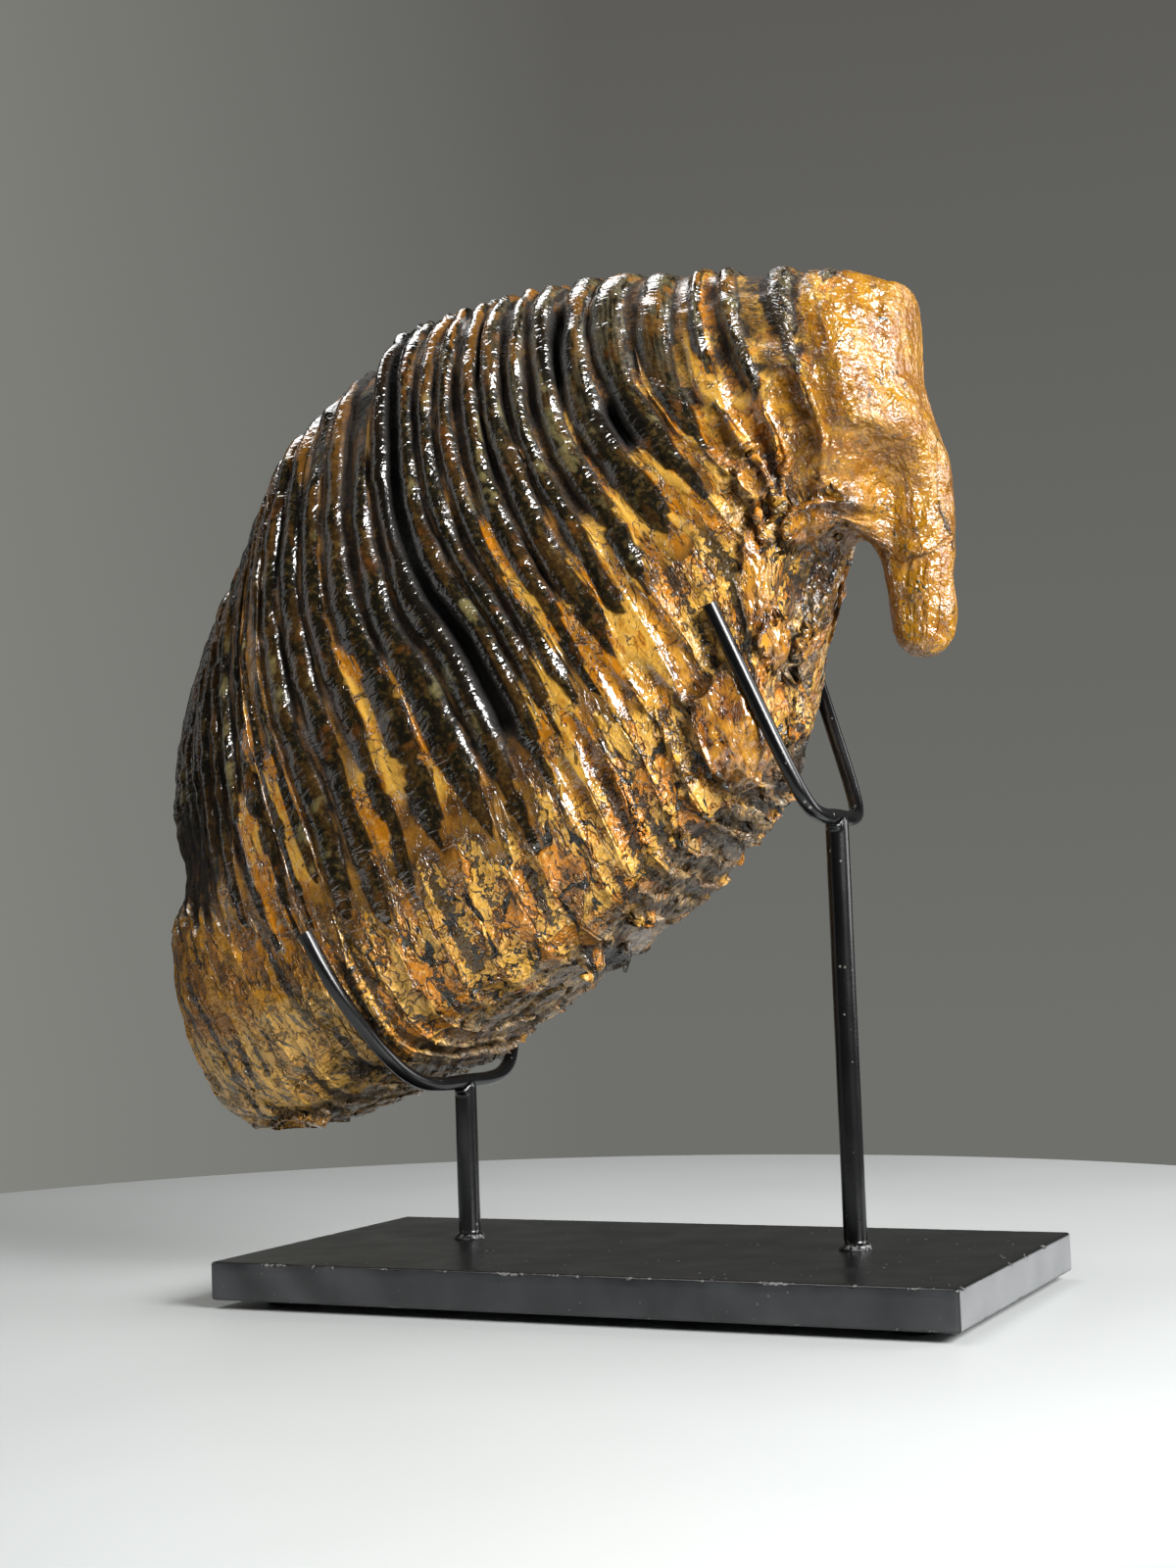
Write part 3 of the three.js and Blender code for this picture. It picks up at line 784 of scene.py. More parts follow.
# The tooth before its ridges, by the same rule as the solid part.
def bareTooth(place, down, across):
    guides = tooth["guides"]
    reachFront = alongRow(place, [g.get("front", 1) for g in guides])
    reachBack = alongRow(place, [g.get("back", 1) for g in guides])
    hollow = alongRow(place, [g.get("hollow", 0) for g in guides])
    reach = reachFront + (reachBack - reachFront) * smooth(-0.35, 0.15, across)
    t = down * (1 - (1 - reach) * smooth(0.3, 1, down)) - hollow * (1 - across**2) * smooth(0.8, 1, down)
    fromTip = np.clip(np.abs(across - 0.4) / 0.6, 0, 1) ** 2 * smooth(-0.35, 0, across)
    t = t - alongRow(place, [g.get("tip", 0) for g in guides]) * fromTip * smooth(0.75, 1, down)
    t = np.clip(t, 0, 1) * 3
    i = np.clip(np.floor(t).astype(int), 0, 2)
    s = t - i
    found = []
    for axis in (0, 1):
        names = ("crown", "crown", "upper", "lower", "root", "root")
        stack = np.stack([alongRow(place, [g[name][axis] for g in guides]) for name in names])
        a, b, c, d = (np.take_along_axis(stack, (i + k)[None], axis=0)[0] for k in range(4))
        curve = 2 * b + (c - a) * s + (2 * a - 5 * b + 4 * c - d) * s**2 + (3 * b - a - 3 * c + d) * s**3
        found.append(curve / 2)
    crown, middle, root = (alongRow(place, [g["half"][k] for g in guides]) for k in range(3))
    half = crown * (1 - down) * (1 - 2 * down) + middle * 4 * down * (1 - down) + root * down * (2 * down - 1)
    return np.stack([found[0], tooth["midY"] + across * half, found[1]], axis=-1)


# One plate's outline: down from crown to root, across from near side to far side, closer on the near one.
def plateOutline(count):
    angle = np.linspace(0, 2 * np.pi, 4001)
    cosine, sine = np.cos(angle), np.sin(angle)
    down = 0.5 - 0.5 * np.sign(cosine) * np.abs(cosine) ** tooth["crownRound"]
    across = -np.sign(sine) * np.abs(sine) ** tooth["sideRound"]
    steps = np.hypot(np.diff(down) * tooth["typicalHeight"], np.diff(across) * tooth["typicalHalf"])
    travelled = np.concatenate([[0], np.cumsum(steps)])
    spacing = 1 + (tooth["farSpacing"] - 1) * smooth(0, 0.6, across[:-1])
    counted = np.concatenate([[0], np.cumsum(steps / spacing)])
    even = np.linspace(0, counted[-1], count, endpoint=False)
    along = np.interp(even, counted, travelled)
    fromCrown = np.minimum(along, travelled[-1] - along)
    return np.interp(even, counted, down), np.interp(even, counted, across), fromCrown


# How far a point lies inside a stretch of height, with soft ends.
def within(down, ends, soft=0.02):
    return smooth(ends[0] - soft, ends[0] + soft, down) * smooth(ends[1] + soft, ends[1] - soft, down)


def gridNormals(grid):
    alongLoops = np.gradient(grid, axis=0)
    roundLoop = np.roll(grid, -1, axis=1) - np.roll(grid, 1, axis=1)
    normal = np.cross(roundLoop, alongLoops)
    return normal / np.maximum(np.linalg.norm(normal, axis=-1, keepdims=True), 1e-9)


# Half width of every ridge, swollen until it would crowd its neighbours.
def ridgeHalves():
    halves = np.array([ridge["half"] for ridge in ridges]) * relief["swell"]
    middles = np.array([ridge["at"] for ridge in ridges])
    room = np.minimum(relief["crowding"] * np.diff(middles) / (halves[:-1] + halves[1:]), 1)
    return halves * np.minimum(np.append(room, 1), np.insert(room, 0, 1))


# Where a groove is filled high with ochre cement, and where it stands open. k counts the grooves, strip is
# the ridge whose entries name its stretches on the near side, and at is the place of the ridge it is worked
# out for.
def grooveFill(strip, k, at, down, run, near):
    far = 1 - near
    ochre = far * smooth(0.2, 0.5, drift(k * 4.1, run / 22, 30))
    gap = far * smooth(0.35, 0.6, drift(k * 4.1, run / 28, 60)) * (1 - ochre) * smooth(21, 19, at)
    if "ochre" in strip:
        ochre = ochre + within(down, strip["ochre"]) * near
    if "gap" in strip:
        gap = gap + within(down, strip["gap"]) * near
    return ochre, np.clip(gap, 0, 1)


# Mesh columns that run along every ridge, with each column's place, height and what it is made of.
def ridgeColumns(down, across):
    near = smooth(0.25, -0.25, across)
    far = 1 - near
    run = down * tooth["typicalHeight"]
    side = near * 5
    halves = ridgeHalves()
    borders = [0 * down]
    for k, (a, b) in enumerate(zip(ridges, ridges[1:])):
        sway = 0.02 * drift(k * 2.9, run / 14, side)
        borders.append((a["at"] + halves[k] + b["at"] - halves[k + 1]) / 2 + sway)
    borders.append(0 * down + tooth["lastPlace"])
    found = {name: [] for name in ("place", "height", "enamel", "ochre", "root", "cement", "gap", "crease")}
    for i, ridge in enumerate(ridges):
        ends = ridge["ends"] + 0.02 * drift(i * 5.3, across * 3, 9) + 0.03 * drift(i * 3.7, 20) * far
        taper = 1 - 0.6 * smooth(ends - 0.14, ends + 0.01, down)
        uneven = 1 + 0.15 * drift(i * 2.3, run / 11, side) + 0.07 * drift(i * 2.3, run / 3.5, side)
        half = halves[i] * taper * uneven
        centre = ridge["at"] + 0.26 * halves[i] * drift(i * 1.7, run / 17, side + 4)
        lowest, highest = relief["riseLimits"]
        rise = np.clip(relief["rise"] * half * tooth["placeWidth"], lowest, highest)
        knots = 0.14 * drift(i * 1.1, run / 9, side + 1) + 0.1 * drift(i * 1.1, run / 3.8, side + 1)
        rise = rise * (1 + knots) * (1 - 0.4 * smooth(ends - 0.12, ends, down))
        crest = -0.8 * smooth(0.1, 0.7, drift(i * 1.9, run / 10, side + 6))
        crest = crest - 0.4 * (drift(i, run / 4, side) + 1)
        for t in relief["columns"]:
            size = abs(t)
            inside = size <= relief["edge"]
            border = borders[i] if t < 0 else borders[i + 1]
            edge = centre + math.copysign(1, t) * half
            outer = (size - relief["edge"]) / (1 - relief["edge"])
            place = centre + half * t / relief["edge"] if inside else edge + (border - edge) * outer
            root = smooth(ends - 0.02 if inside else ends - 0.1, ends + 0.02, down)
            strip = ridges[i if t > 0 else max(i - 1, 0)]
            k = i if t < 0 else i + 1
            ochre, gap = grooveFill(strip, k, ridge["at"], down, run, near)
            if inside:
                rounded = math.sqrt(max(0, 1 - (size / relief["edge"]) ** relief["roundness"]))
                height = crest - rise * (1 - rounded)
            else:
                wall = float(smooth(0, 0.8, outer))
                height = crest - rise - (relief["groove"] + (relief["gap"] - relief["groove"]) * gap) * wall
            lowered = smooth(ends - 0.3, ends, down)
            fill = relief["fillHigh"] + (relief["fillLow"] - relief["fillHigh"]) * lowered
            fill = fill + 0.3 * drift(k * 3.3, run / 8, side + 2)
            proud = 1 - 0.75 * smooth(15.5, 16.1, ridge["at"])
            fill = fill * (1 + (relief["ochreFill"] - 1) * np.clip(ochre, 0, 1) * proud)
            level = np.maximum(rise * fill, 0.3) + relief["gap"] * gap
            cement = smooth(-0.12, 0.12, -level - height)
            height = np.maximum(height, -level)
            deeper = 0.7 + 0.3 * smooth(13, 18, place) - 0.95 * smooth(23.4, 24.6, place)
            varied = 0.7 + 0.6 * drift(k * 2.1, run / 18, 5)
            grooved = relief["rootGroove"] * deeper * varied * (0.35 + 0.65 * smooth(4, 8, place))
            height = height + (-grooved * smooth(0.4, 1, size) - height) * root
            crease = root * smooth(0.78, 1, size) * smooth(-0.3, 0.3, drift(k * 5.7, run / 12, side + 7))
            crease = crease * smooth(24.5, 23, place)
            column = {"place": place, "height": height, "ochre": ochre, "root": root, "gap": gap}
            column["crease"] = crease
            column["enamel"] = inside * (1 - root) * (1 - cement)
            column["cement"] = cement * (1 - root)
            for name, value in column.items():
                found[name].append(value + 0 * down)
    for name, columns in found.items():
        columns.append(columns[-1] if name != "place" else 0 * down + tooth["lastPlace"])
        found[name] = np.array(columns)
    # no column may cross the one before it
    least = relief["leastStep"] * np.arange(len(found["place"]))[:, None]
    ordered = np.maximum.accumulate(found["place"] - least, axis=0) + least
    found["place"] = np.clip(ordered, 0, tooth["lastPlace"])
    return found


def bendRidges(place, down, across):
    near = smooth(0.25, -0.25, across)
    shift = 0.12 * drift(place / 2.5, down * 5, near * 3)
    for bend in bends:
        pull = np.exp(-((place - bend["at"]) / bend["spread"]) ** 2)
        shift = shift + bend["by"] * pull * smooth(*bend["down"], down) * near
    room = smooth(0, 1.5, place) * smooth(tooth["lastPlace"], tooth["lastPlace"] - 1.5, place)
    return np.clip(place + shift * room, 0, tooth["lastPlace"])


# A rounded end: the last outline drawn in to the middle line while it bulges by so much.
def capLoops(loop, down, bulge, prong):
    middle = tooth["midY"] + prong * smooth(*tooth["prongFrom"], loop[:, 2])
    loops = []
    for angle in np.linspace(0, math.pi / 2 * 0.97, tooth["capLoops"] + 1)[1:]:
        moved = loop.copy()
        moved[:, 1] = middle + (loop[:, 1] - middle) * math.cos(angle)
        moved[:, 0] = loop[:, 0] + bulge * math.sin(angle)
        tucked = tooth["tuck"] * (1 - math.cos(angle))
        moved[:, 2] += tucked * (smooth(0.7, 1, down) - 0.6 * smooth(0.2, 0, down))
        loops.append(moved)
    return np.array(loops)


# The relief of the whole tooth, added to its ridges: the rear step, the knobbed tips and the ends.
def wholeRelief(height, root, grid, place, down):
    last = tooth["lastPlace"]
    ends = smooth(0, 0.8, place) * smooth(last, last - 2.2, place)
    height = height * (0.3 + 0.7 * ends)
    # the rear crown stands inside the raised sheath of the root
    height -= relief["rearStep"] * (1 - root) * smooth(5, 2, place) * smooth(0.34, 0.5, down)
    height += relief["rearSwell"] * root * smooth(5, 1, place) * smooth(0.64, 0.76, down)
    # unworn tips end in round knobs of unequal height
    worn = smooth(*relief["wornFrom"], place)
    knobs = 0.5 - 0.5 * np.cos(2 * np.pi * (grid[..., 1] / relief["knobGap"] + 2 * drift(place, 4)))
    top = smooth(0.1, 0.02, down) * (1 - worn)
    height -= (relief["knobs"] * knobs + relief["tipDrop"] * smooth(-0.5, 0.7, drift(place * 0.6, 7))) * top
    for at, width, rise in relief["crownTips"]:
        height += rise * np.exp(-((place - at) / width) ** 2) * smooth(0.3, 0.05, down)
    return height


# Lumps and grain over everything, coarser on the root and broken underneath.
def addGrain(surface, values):
    x, y, z = (surface[..., k] for k in range(3))
    uneven = 0.5 + 0.3 * drift(x / 11, y / 11, z / 11) + 0.2 * drift(x / 5, y / 5, z / 5)
    fine = 0.5 + 0.5 * drift(x / 2.3, y / 2.3, z / 2.3)
    knobbly = smooth(18.5, 20.5, values["place"]) * smooth(0.15, 0.3, values["down"])
    under = smooth(0.9, 1, values["down"]) * smooth(18, 16, values["place"])
    rough = relief["grain"] + relief["rootGrain"] * values["root"] + relief["underGrain"] * under
    rough = rough + relief["frontGrain"] * knobbly
    rough = rough * (1 - 0.7 * np.maximum(smooth(23.5, 24.5, values["place"]), values["lump"]))
    sink = uneven * rough + relief["grain"] * fine
    return surface - gridNormals(surface) * sink[..., None]


# The tooth's surface in millimetres, loop after loop along the row, and what each point is made of.
def toothGrid():
    down, across, fromCrown = plateOutline(tooth["rows"])
    found = ridgeColumns(down, across)
    down = down + 0 * found["place"]
    across = across + 0 * found["place"]
    place = bendRidges(found["place"], down, across)
    grid = bareTooth(place, down, across)
    last = tooth["lastPlace"]
    narrowed = np.sqrt(1 - tooth["frontRound"] * np.clip((place - last + 3) / 3, 0, 1) ** 2)
    middle = tooth["midY"] + tooth["prongShift"] * smooth(*tooth["prongFrom"], grid[..., 2])
    grid[..., 1] = middle + (grid[..., 1] - middle) * narrowed
    height = wholeRelief(found.pop("height"), found["root"], grid, place, down)
    surface = grid + gridNormals(grid) * (height + relief["lift"])[..., None]
    surface = np.concatenate([
        capLoops(surface[0], down[0], -tooth["backCap"], 0)[::-1], surface,
        capLoops(surface[-1], down[-1], tooth["frontCap"], tooth["prongShift"]),
    ])
    pad = ((tooth["capLoops"], tooth["capLoops"]), (0, 0))
    found.update({"place": place, "depth": -height, "down": down})
    values = {name: np.pad(known, pad, mode="edge") for name, known in found.items()}
    values["run"] = fromCrown + 0 * values["down"]
    surface = roundProng(surface, values["place"])
    underFront = smooth(16.5, 18.5, values["place"]) * smooth(0.68, 0.85, values["down"])
    onProng = smooth(23.4, 24.2, values["place"]) * smooth(25.6, 25.0, values["place"])
    onProng = onProng * smooth(222, 200, surface[..., 2])
    surface = relax(surface, np.maximum(0.7 * underFront, onProng), relief["relaxRounds"])
    surface = roundProng(surface, values["place"])
    surface, values["stain"], painted, values["lump"] = sculptSurface(surface)
    values["ochre"] = np.clip(values["ochre"] * (1 - values["lump"]) + painted, 0, 1.5)
    return addGrain(surface, values), values


# How near points are to a line from one place to another, from 0 at reach to 1 on it.
def closeness(points, start, end, reach):
    start, end = np.array(start, float), np.array(end, float)
    run = end - start
    share = np.clip(((points - start) @ run) / (run @ run), 0, 1)
    away = np.linalg.norm(points - (start + share[..., None] * run), axis=-1)
    return smooth(reach, 0.15 * reach, away)


# Flattens an oval patch and raises it to a rounded lump, or sinks it, with a crease sunk round its edge that
# is also handed back for painted shade.
def raiseLump(surface, lump):
    toward = np.array(lump["toward"], float)
    toward /= np.linalg.norm(toward)
    upward = np.array((0, 0, 1.0)) if abs(toward[2]) < 0.7 else np.array((0, 1.0, 0))
    upward -= toward * (upward @ toward)
    upward /= np.linalg.norm(upward)
    rightward = np.cross(upward, toward)
    turn = math.radians(lump["turn"])
    away = surface - np.array(lump["at"], float)
    out, up, depth = away @ rightward, away @ upward, away @ toward
    wobble = 1 + 0.12 * drift(*(surface[..., k] / 5 for k in range(3)))
    size = np.hypot((out * math.cos(turn) + up * math.sin(turn)) / lump["radii"][0],
                    (up * math.cos(turn) - out * math.sin(turn)) / lump["radii"][1]) * wobble
    faces = smooth(*lumpShape["behind"], depth) * smooth(*lumpShape["before"], depth)
    flat = smooth(1, 0.45, size) * lumpShape["flatten"] * faces
    rise = lump["rise"] * np.sqrt(np.clip(1 - size**2, 0, 1)) * faces
    crease = np.exp(-((size - 1.02) / lumpShape["creaseWidth"]) ** 2) * faces
    moved = surface + toward * (rise - depth * flat - lumpShape["crease"] * crease)[..., None]
    return moved, smooth(1, 0.75, size) * faces, crease


def sculptSurface(surface):
    stain = np.zeros(surface.shape[:2])
    ochre = np.zeros(surface.shape[:2])
    onLump = np.zeros(surface.shape[:2])
    moved = surface.copy()
    for spot in sculpt:
        wobble = 0.25 * spot["reach"] * drift(*(surface[..., k] / 4 for k in range(3)))
        close = closeness(surface, spot["from"], spot["to"], spot["reach"] + wobble)
        moved = moved + close[..., None] * np.array(spot["pull"], float)
        stain = np.maximum(stain, close * spot["stain"])
    for lump in lumps:
        moved, close, crease = raiseLump(moved, lump)
        # the crease round each lump is darkened through stain as painted shade
        stain = np.maximum(stain * (1 - close), np.maximum(close * lump.get("stain", 0), 0.7 * crease))
        ochre = np.maximum(ochre, close * lump.get("ochre", 0))
        onLump = np.maximum(onLump, close)
    return moved, stain, ochre, onLump


# Evens out the surface where weight says, by drawing points towards the middle of their neighbours.
def relax(surface, weight, rounds):
    for step in range(rounds):
        around = (np.roll(surface, 1, 1) + np.roll(surface, -1, 1)) / 2
        along = surface.copy()
        along[1:-1] = (surface[2:] + surface[:-2]) / 2
        surface = surface + weight[..., None] * 0.5 * ((around + along) / 2 - surface)
    return surface


# The front root is a blunt rounded prong.
def roundProng(surface, place):
    start, end = (np.array(p, float) for p in prong["axis"])
    share = np.clip(((surface - start) @ (end - start)) / ((end - start) @ (end - start)), 0, 1)
    middle = start + share[..., None] * (end - start)
    away = surface - middle
    wide = prong["radii"][0] + (prong["radii"][1] - prong["radii"][0]) * share
    wide = wide * (1 + 0.06 * drift(*(surface[..., k] / 9 for k in range(3))))
    target = middle + away / np.maximum(np.linalg.norm(away, axis=-1), 0.5)[..., None] * wide[..., None]
    weight = smooth(*prong["places"], place) * smooth(*prong["heights"], surface[..., 2])
    return surface + (target - surface) * weight[..., None]


def meshFromGrid(name, surface):
    loops, rows = surface.shape[:2]
    index = np.arange(loops * rows).reshape(loops, rows)
    a, b = index[:-1], index[1:]
    quads = np.stack([a, np.roll(a, -1, 1), np.roll(b, -1, 1), b], axis=-1).reshape(-1, 4)
    faces = [tuple(q) for q in quads.tolist()]
    # each end is closed by a strip of triangles between its near and far halves
    for loop, turned in ((0, True), (loops - 1, False)):
        heights = surface[loop, :, 2]
        near, far = 0, rows
        while far - near > 2:
            stepNear = heights[near + 1] >= heights[far - 1]
            third = near + 1 if stepNear else far - 1
            corners = [loop * rows + k % rows for k in (near, third, far)]
            if len(set(corners)) == 3:
                faces.append(tuple(reversed(corners)) if turned else tuple(corners))
            near, far = (third, far) if stepNear else (near, third)
        corners = [loop * rows + k % rows for k in (near, near + 1, far)]
        faces.append(tuple(reversed(corners)) if turned else tuple(corners))
    mesh = bpy.data.meshes.new(name)
    mesh.from_pydata(toWorld(surface.reshape(-1, 3)).tolist(), [], faces)
    mesh.update()
    mesh.polygons.foreach_set("use_smooth", np.ones(len(mesh.polygons), bool))
    return mesh


# Sinks the surface behind a wire where one passes, and keeps it inside the solid part's box.
def makeRoom(mesh):
    points = np.empty(len(mesh.vertices) * 3)
    mesh.vertices.foreach_get("co", points)
    points = (points.reshape(-1, 3) - origin) / mm
    need = wire["radius"] + wire["clearance"]
    reach = 8
    farOff = 99
    for key in ("low", "high"):
        line = wireLine(wire[key], wire["roomSteps"])
        inside = np.array((wire[key]["postX"], wire["midY"], wire[key]["bottomZ"])) + wire[key]["heart"]
        inward = (inside - line) / np.linalg.norm(inside - line, axis=1)[:, None]
        margin = need + reach
        which = np.where(np.all((points > line.min(0) - margin) & (points < line.max(0) + margin), axis=1))[0]
        away = points[which][:, None] - line[None]
        behind = np.einsum("ijk,jk->ij", away, inward)
        beside = np.sqrt(np.maximum((away**2).sum(-1) - behind**2, 0))
        beside[(behind < -reach) | (behind > need)] = farOff
        nearest = beside.argmin(1)
        rows = np.arange(len(which))
        behind, beside = behind[rows, nearest], beside[rows, nearest]
        wanted = np.sqrt(np.clip(need**2 - beside**2, 0, None))
        short = (beside < need) & (behind < wanted)
        shift = (wanted - behind)[short, None] * inward[nearest[short]]
        points[which[short]] += shift
    low, high = ((np.array(corner) - origin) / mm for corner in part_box("tooth"))
    points = np.clip(points, low + wire["hair"], high - wire["hair"])
    mesh.vertices.foreach_set("co", toWorld(points).ravel())
    mesh.update()


# Bends space and scales it to cells of the given sizes, so that cell patterns look broken and not laid out.
def cellSpace(tree, place, cells, waveSize, wave):
    wobble = put(tree, "ShaderNodeTexNoise", {"Vector": place, "Scale": 1 / waveSize, "Detail": 2},
                 out="Color")
    centred = put(tree, "ShaderNodeVectorMath", {0: wobble, 1: (0.5, 0.5, 0.5)}, operation="SUBTRACT")
    moved = put(tree, "ShaderNodeVectorMath", {0: centred, 1: (wave,) * 3, 2: place},
                operation="MULTIPLY_ADD")
    return put(tree, "ShaderNodeVectorMath", {0: moved, 1: tuple(1 / c for c in cells)}, operation="MULTIPLY")


# Lines where a noise passes a level, as wide as widths say where share is low and high.
def contour(tree, noise, level, share, widths):
    centred = put(tree, "ShaderNodeMath", {0: noise, 1: level}, operation="SUBTRACT")
    away = put(tree, "ShaderNodeMath", {0: centred}, operation="ABSOLUTE")
    wanted = put(tree, "ShaderNodeMapRange", {"Value": share, "From Min": 0.4, "From Max": 0.6,
                                              "To Min": widths[0], "To Max": widths[1]})
    width = put(tree, "ShaderNodeMath", {0: wanted, 1: 0.0003}, operation="MAXIMUM")
    inner = put(tree, "ShaderNodeMath", {0: width, 1: 0.6}, operation="MULTIPLY")
    return put(tree, "ShaderNodeMapRange", {"Value": away, "From Min": inner, "From Max": width, "To Min": 1,
                                            "To Max": 0})


# Wandering lines along the contours of a stretched noise.
def wander(tree, place, cells, bend, share, widths):
    stretched = put(tree, "ShaderNodeVectorMath", {0: place, 1: tuple(1 / c for c in cells)},
                    operation="MULTIPLY")
    noise = put(tree, "ShaderNodeTexNoise", {"Vector": stretched, "Scale": 1, "Detail": 3,
                                             "Distortion": bend})
    return contour(tree, noise, 0.5, share, widths)


# The root's crevices run along the plates, three to thirty millimetres long.
def crevices(tree, space, place):
    patchy = put(tree, "ShaderNodeTexNoise", {"Vector": place, "Scale": 1 / (9 * mm), "Detail": 3})
    long = wander(tree, space, (9 * mm, 34 * mm, 18 * mm), 0.8, patchy, (-0.01, 0.03))
    short = wander(tree, space, (5 * mm, 17 * mm, 11 * mm), 0.7, patchy, (0.03, -0.02))
    return put(tree, "ShaderNodeMath", {0: long, 1: short}, operation="MAXIMUM")


# Opens the root's crevices, sets its plates at unequal heights, and pits its underside.
def skinTree(material):
    tree, size = newTree("fossilSkin", {"Crack depth": 0.001, "Chip depth": 0.001, "Wrinkle depth": 0.0003})
    space = put(tree, "GeometryNodeInputNamedAttribute", {"Name": "plateSpace"}, data_type="FLOAT_VECTOR")
    root = put(tree, "GeometryNodeInputNamedAttribute", {"Name": "root"}, data_type="FLOAT")
    down = put(tree, "GeometryNodeInputNamedAttribute", {"Name": "down"}, data_type="FLOAT")
    place = put(tree, "GeometryNodeInputPosition")
    normal = put(tree, "GeometryNodeInputNormal")

    crack = crevices(tree, space, place)
    cells = cellSpace(tree, space, (7 * mm, 18 * mm, 10 * mm), 8 * mm, 8 * mm)
    tilt = put(tree, "ShaderNodeTexVoronoi", {"Vector": cells, "Scale": 1}, out="Color")
    chip = put(tree, "ShaderNodeSeparateXYZ", {0: tilt}, out="X")
    cracked = put(tree, "ShaderNodeMath", {0: crack, 1: size["Crack depth"]}, operation="MULTIPLY")
    chipped = put(tree, "ShaderNodeMath", {0: chip, 1: size["Chip depth"], 2: cracked},
                  operation="MULTIPLY_ADD")
    lower = put(tree, "ShaderNodeMapRange", {"Value": down, "From Min": 0.7, "From Max": 0.95,
                                             "To Min": 0.45})
    front = put(tree, "GeometryNodeInputNamedAttribute", {"Name": "place"}, data_type="FLOAT")
    behind = put(tree, "ShaderNodeMapRange", {"Value": front, "From Min": 23, "From Max": 24.2, "To Min": 1,
                                              "To Max": 0.2})
    broken = put(tree, "ShaderNodeMath", {0: root, 1: behind}, operation="MULTIPLY")
    onRoot = put(tree, "ShaderNodeMath", {0: broken, 1: lower}, operation="MULTIPLY")
    rootSink = put(tree, "ShaderNodeMath", {0: chipped, 1: onRoot}, operation="MULTIPLY")

    wrinkle = put(tree, "ShaderNodeTexNoise", {"Vector": place, "Scale": 1 / (3.2 * mm), "Detail": 2})
    sink = put(tree, "ShaderNodeMath", {0: wrinkle, 1: size["Wrinkle depth"], 2: rootSink},
               operation="MULTIPLY_ADD")
    inward = put(tree, "ShaderNodeMath", {0: sink, 1: -1}, operation="MULTIPLY")
    offset = put(tree, "ShaderNodeVectorMath", {0: normal, "Scale": inward}, operation="SCALE")
    sunk = put(tree, "GeometryNodeSetPosition", {"Geometry": size["Geometry"], "Offset": offset})
    endTree(tree, sunk, material)
    return tree


# Noises that the colours share: swells of 22 and 6 mm, grain of 1.6 mm, streaks along the plates, rings
# across them.
def shareNoises(tree, read, look):
    look.large = put(tree, "ShaderNodeTexNoise", {"Vector": look.point, "Scale": 1 / (22 * mm), "Detail": 2})
    look.medium = put(tree, "ShaderNodeTexNoise", {"Vector": look.point, "Scale": 1 / (6 * mm), "Detail": 3})
    look.small = put(tree, "ShaderNodeTexNoise",
                     {"Vector": look.point, "Scale": 1 / (1.6 * mm), "Detail": 2, "Roughness": 0.6})
    along = put(tree, "ShaderNodeVectorMath", {0: look.space, 1: (1 / 1.1, 1 / 8, 1 / 6)},
                operation="MULTIPLY")
    look.streak = put(tree, "ShaderNodeTexNoise", {"Vector": along, "Scale": 1 / mm, "Detail": 2})
    over = put(tree, "ShaderNodeVectorMath", {0: look.space, 1: (1 / 3, 1 / 1.1, 1 / 3)},
               operation="MULTIPLY")
    look.ringing = put(tree, "ShaderNodeTexNoise",
                       {"Vector": over, "Scale": 1 / mm, "Detail": 1, "Distortion": 0.5})

    toneSpace = put(tree, "ShaderNodeVectorMath", {0: look.space, 1: (1 / 5, 1 / 15, 1 / 9)},
                    operation="MULTIPLY")
    look.tone = put(tree, "ShaderNodeTexNoise",
                    {"Vector": toneSpace, "Scale": 1 / mm, "Detail": 4, "Roughness": 0.62})


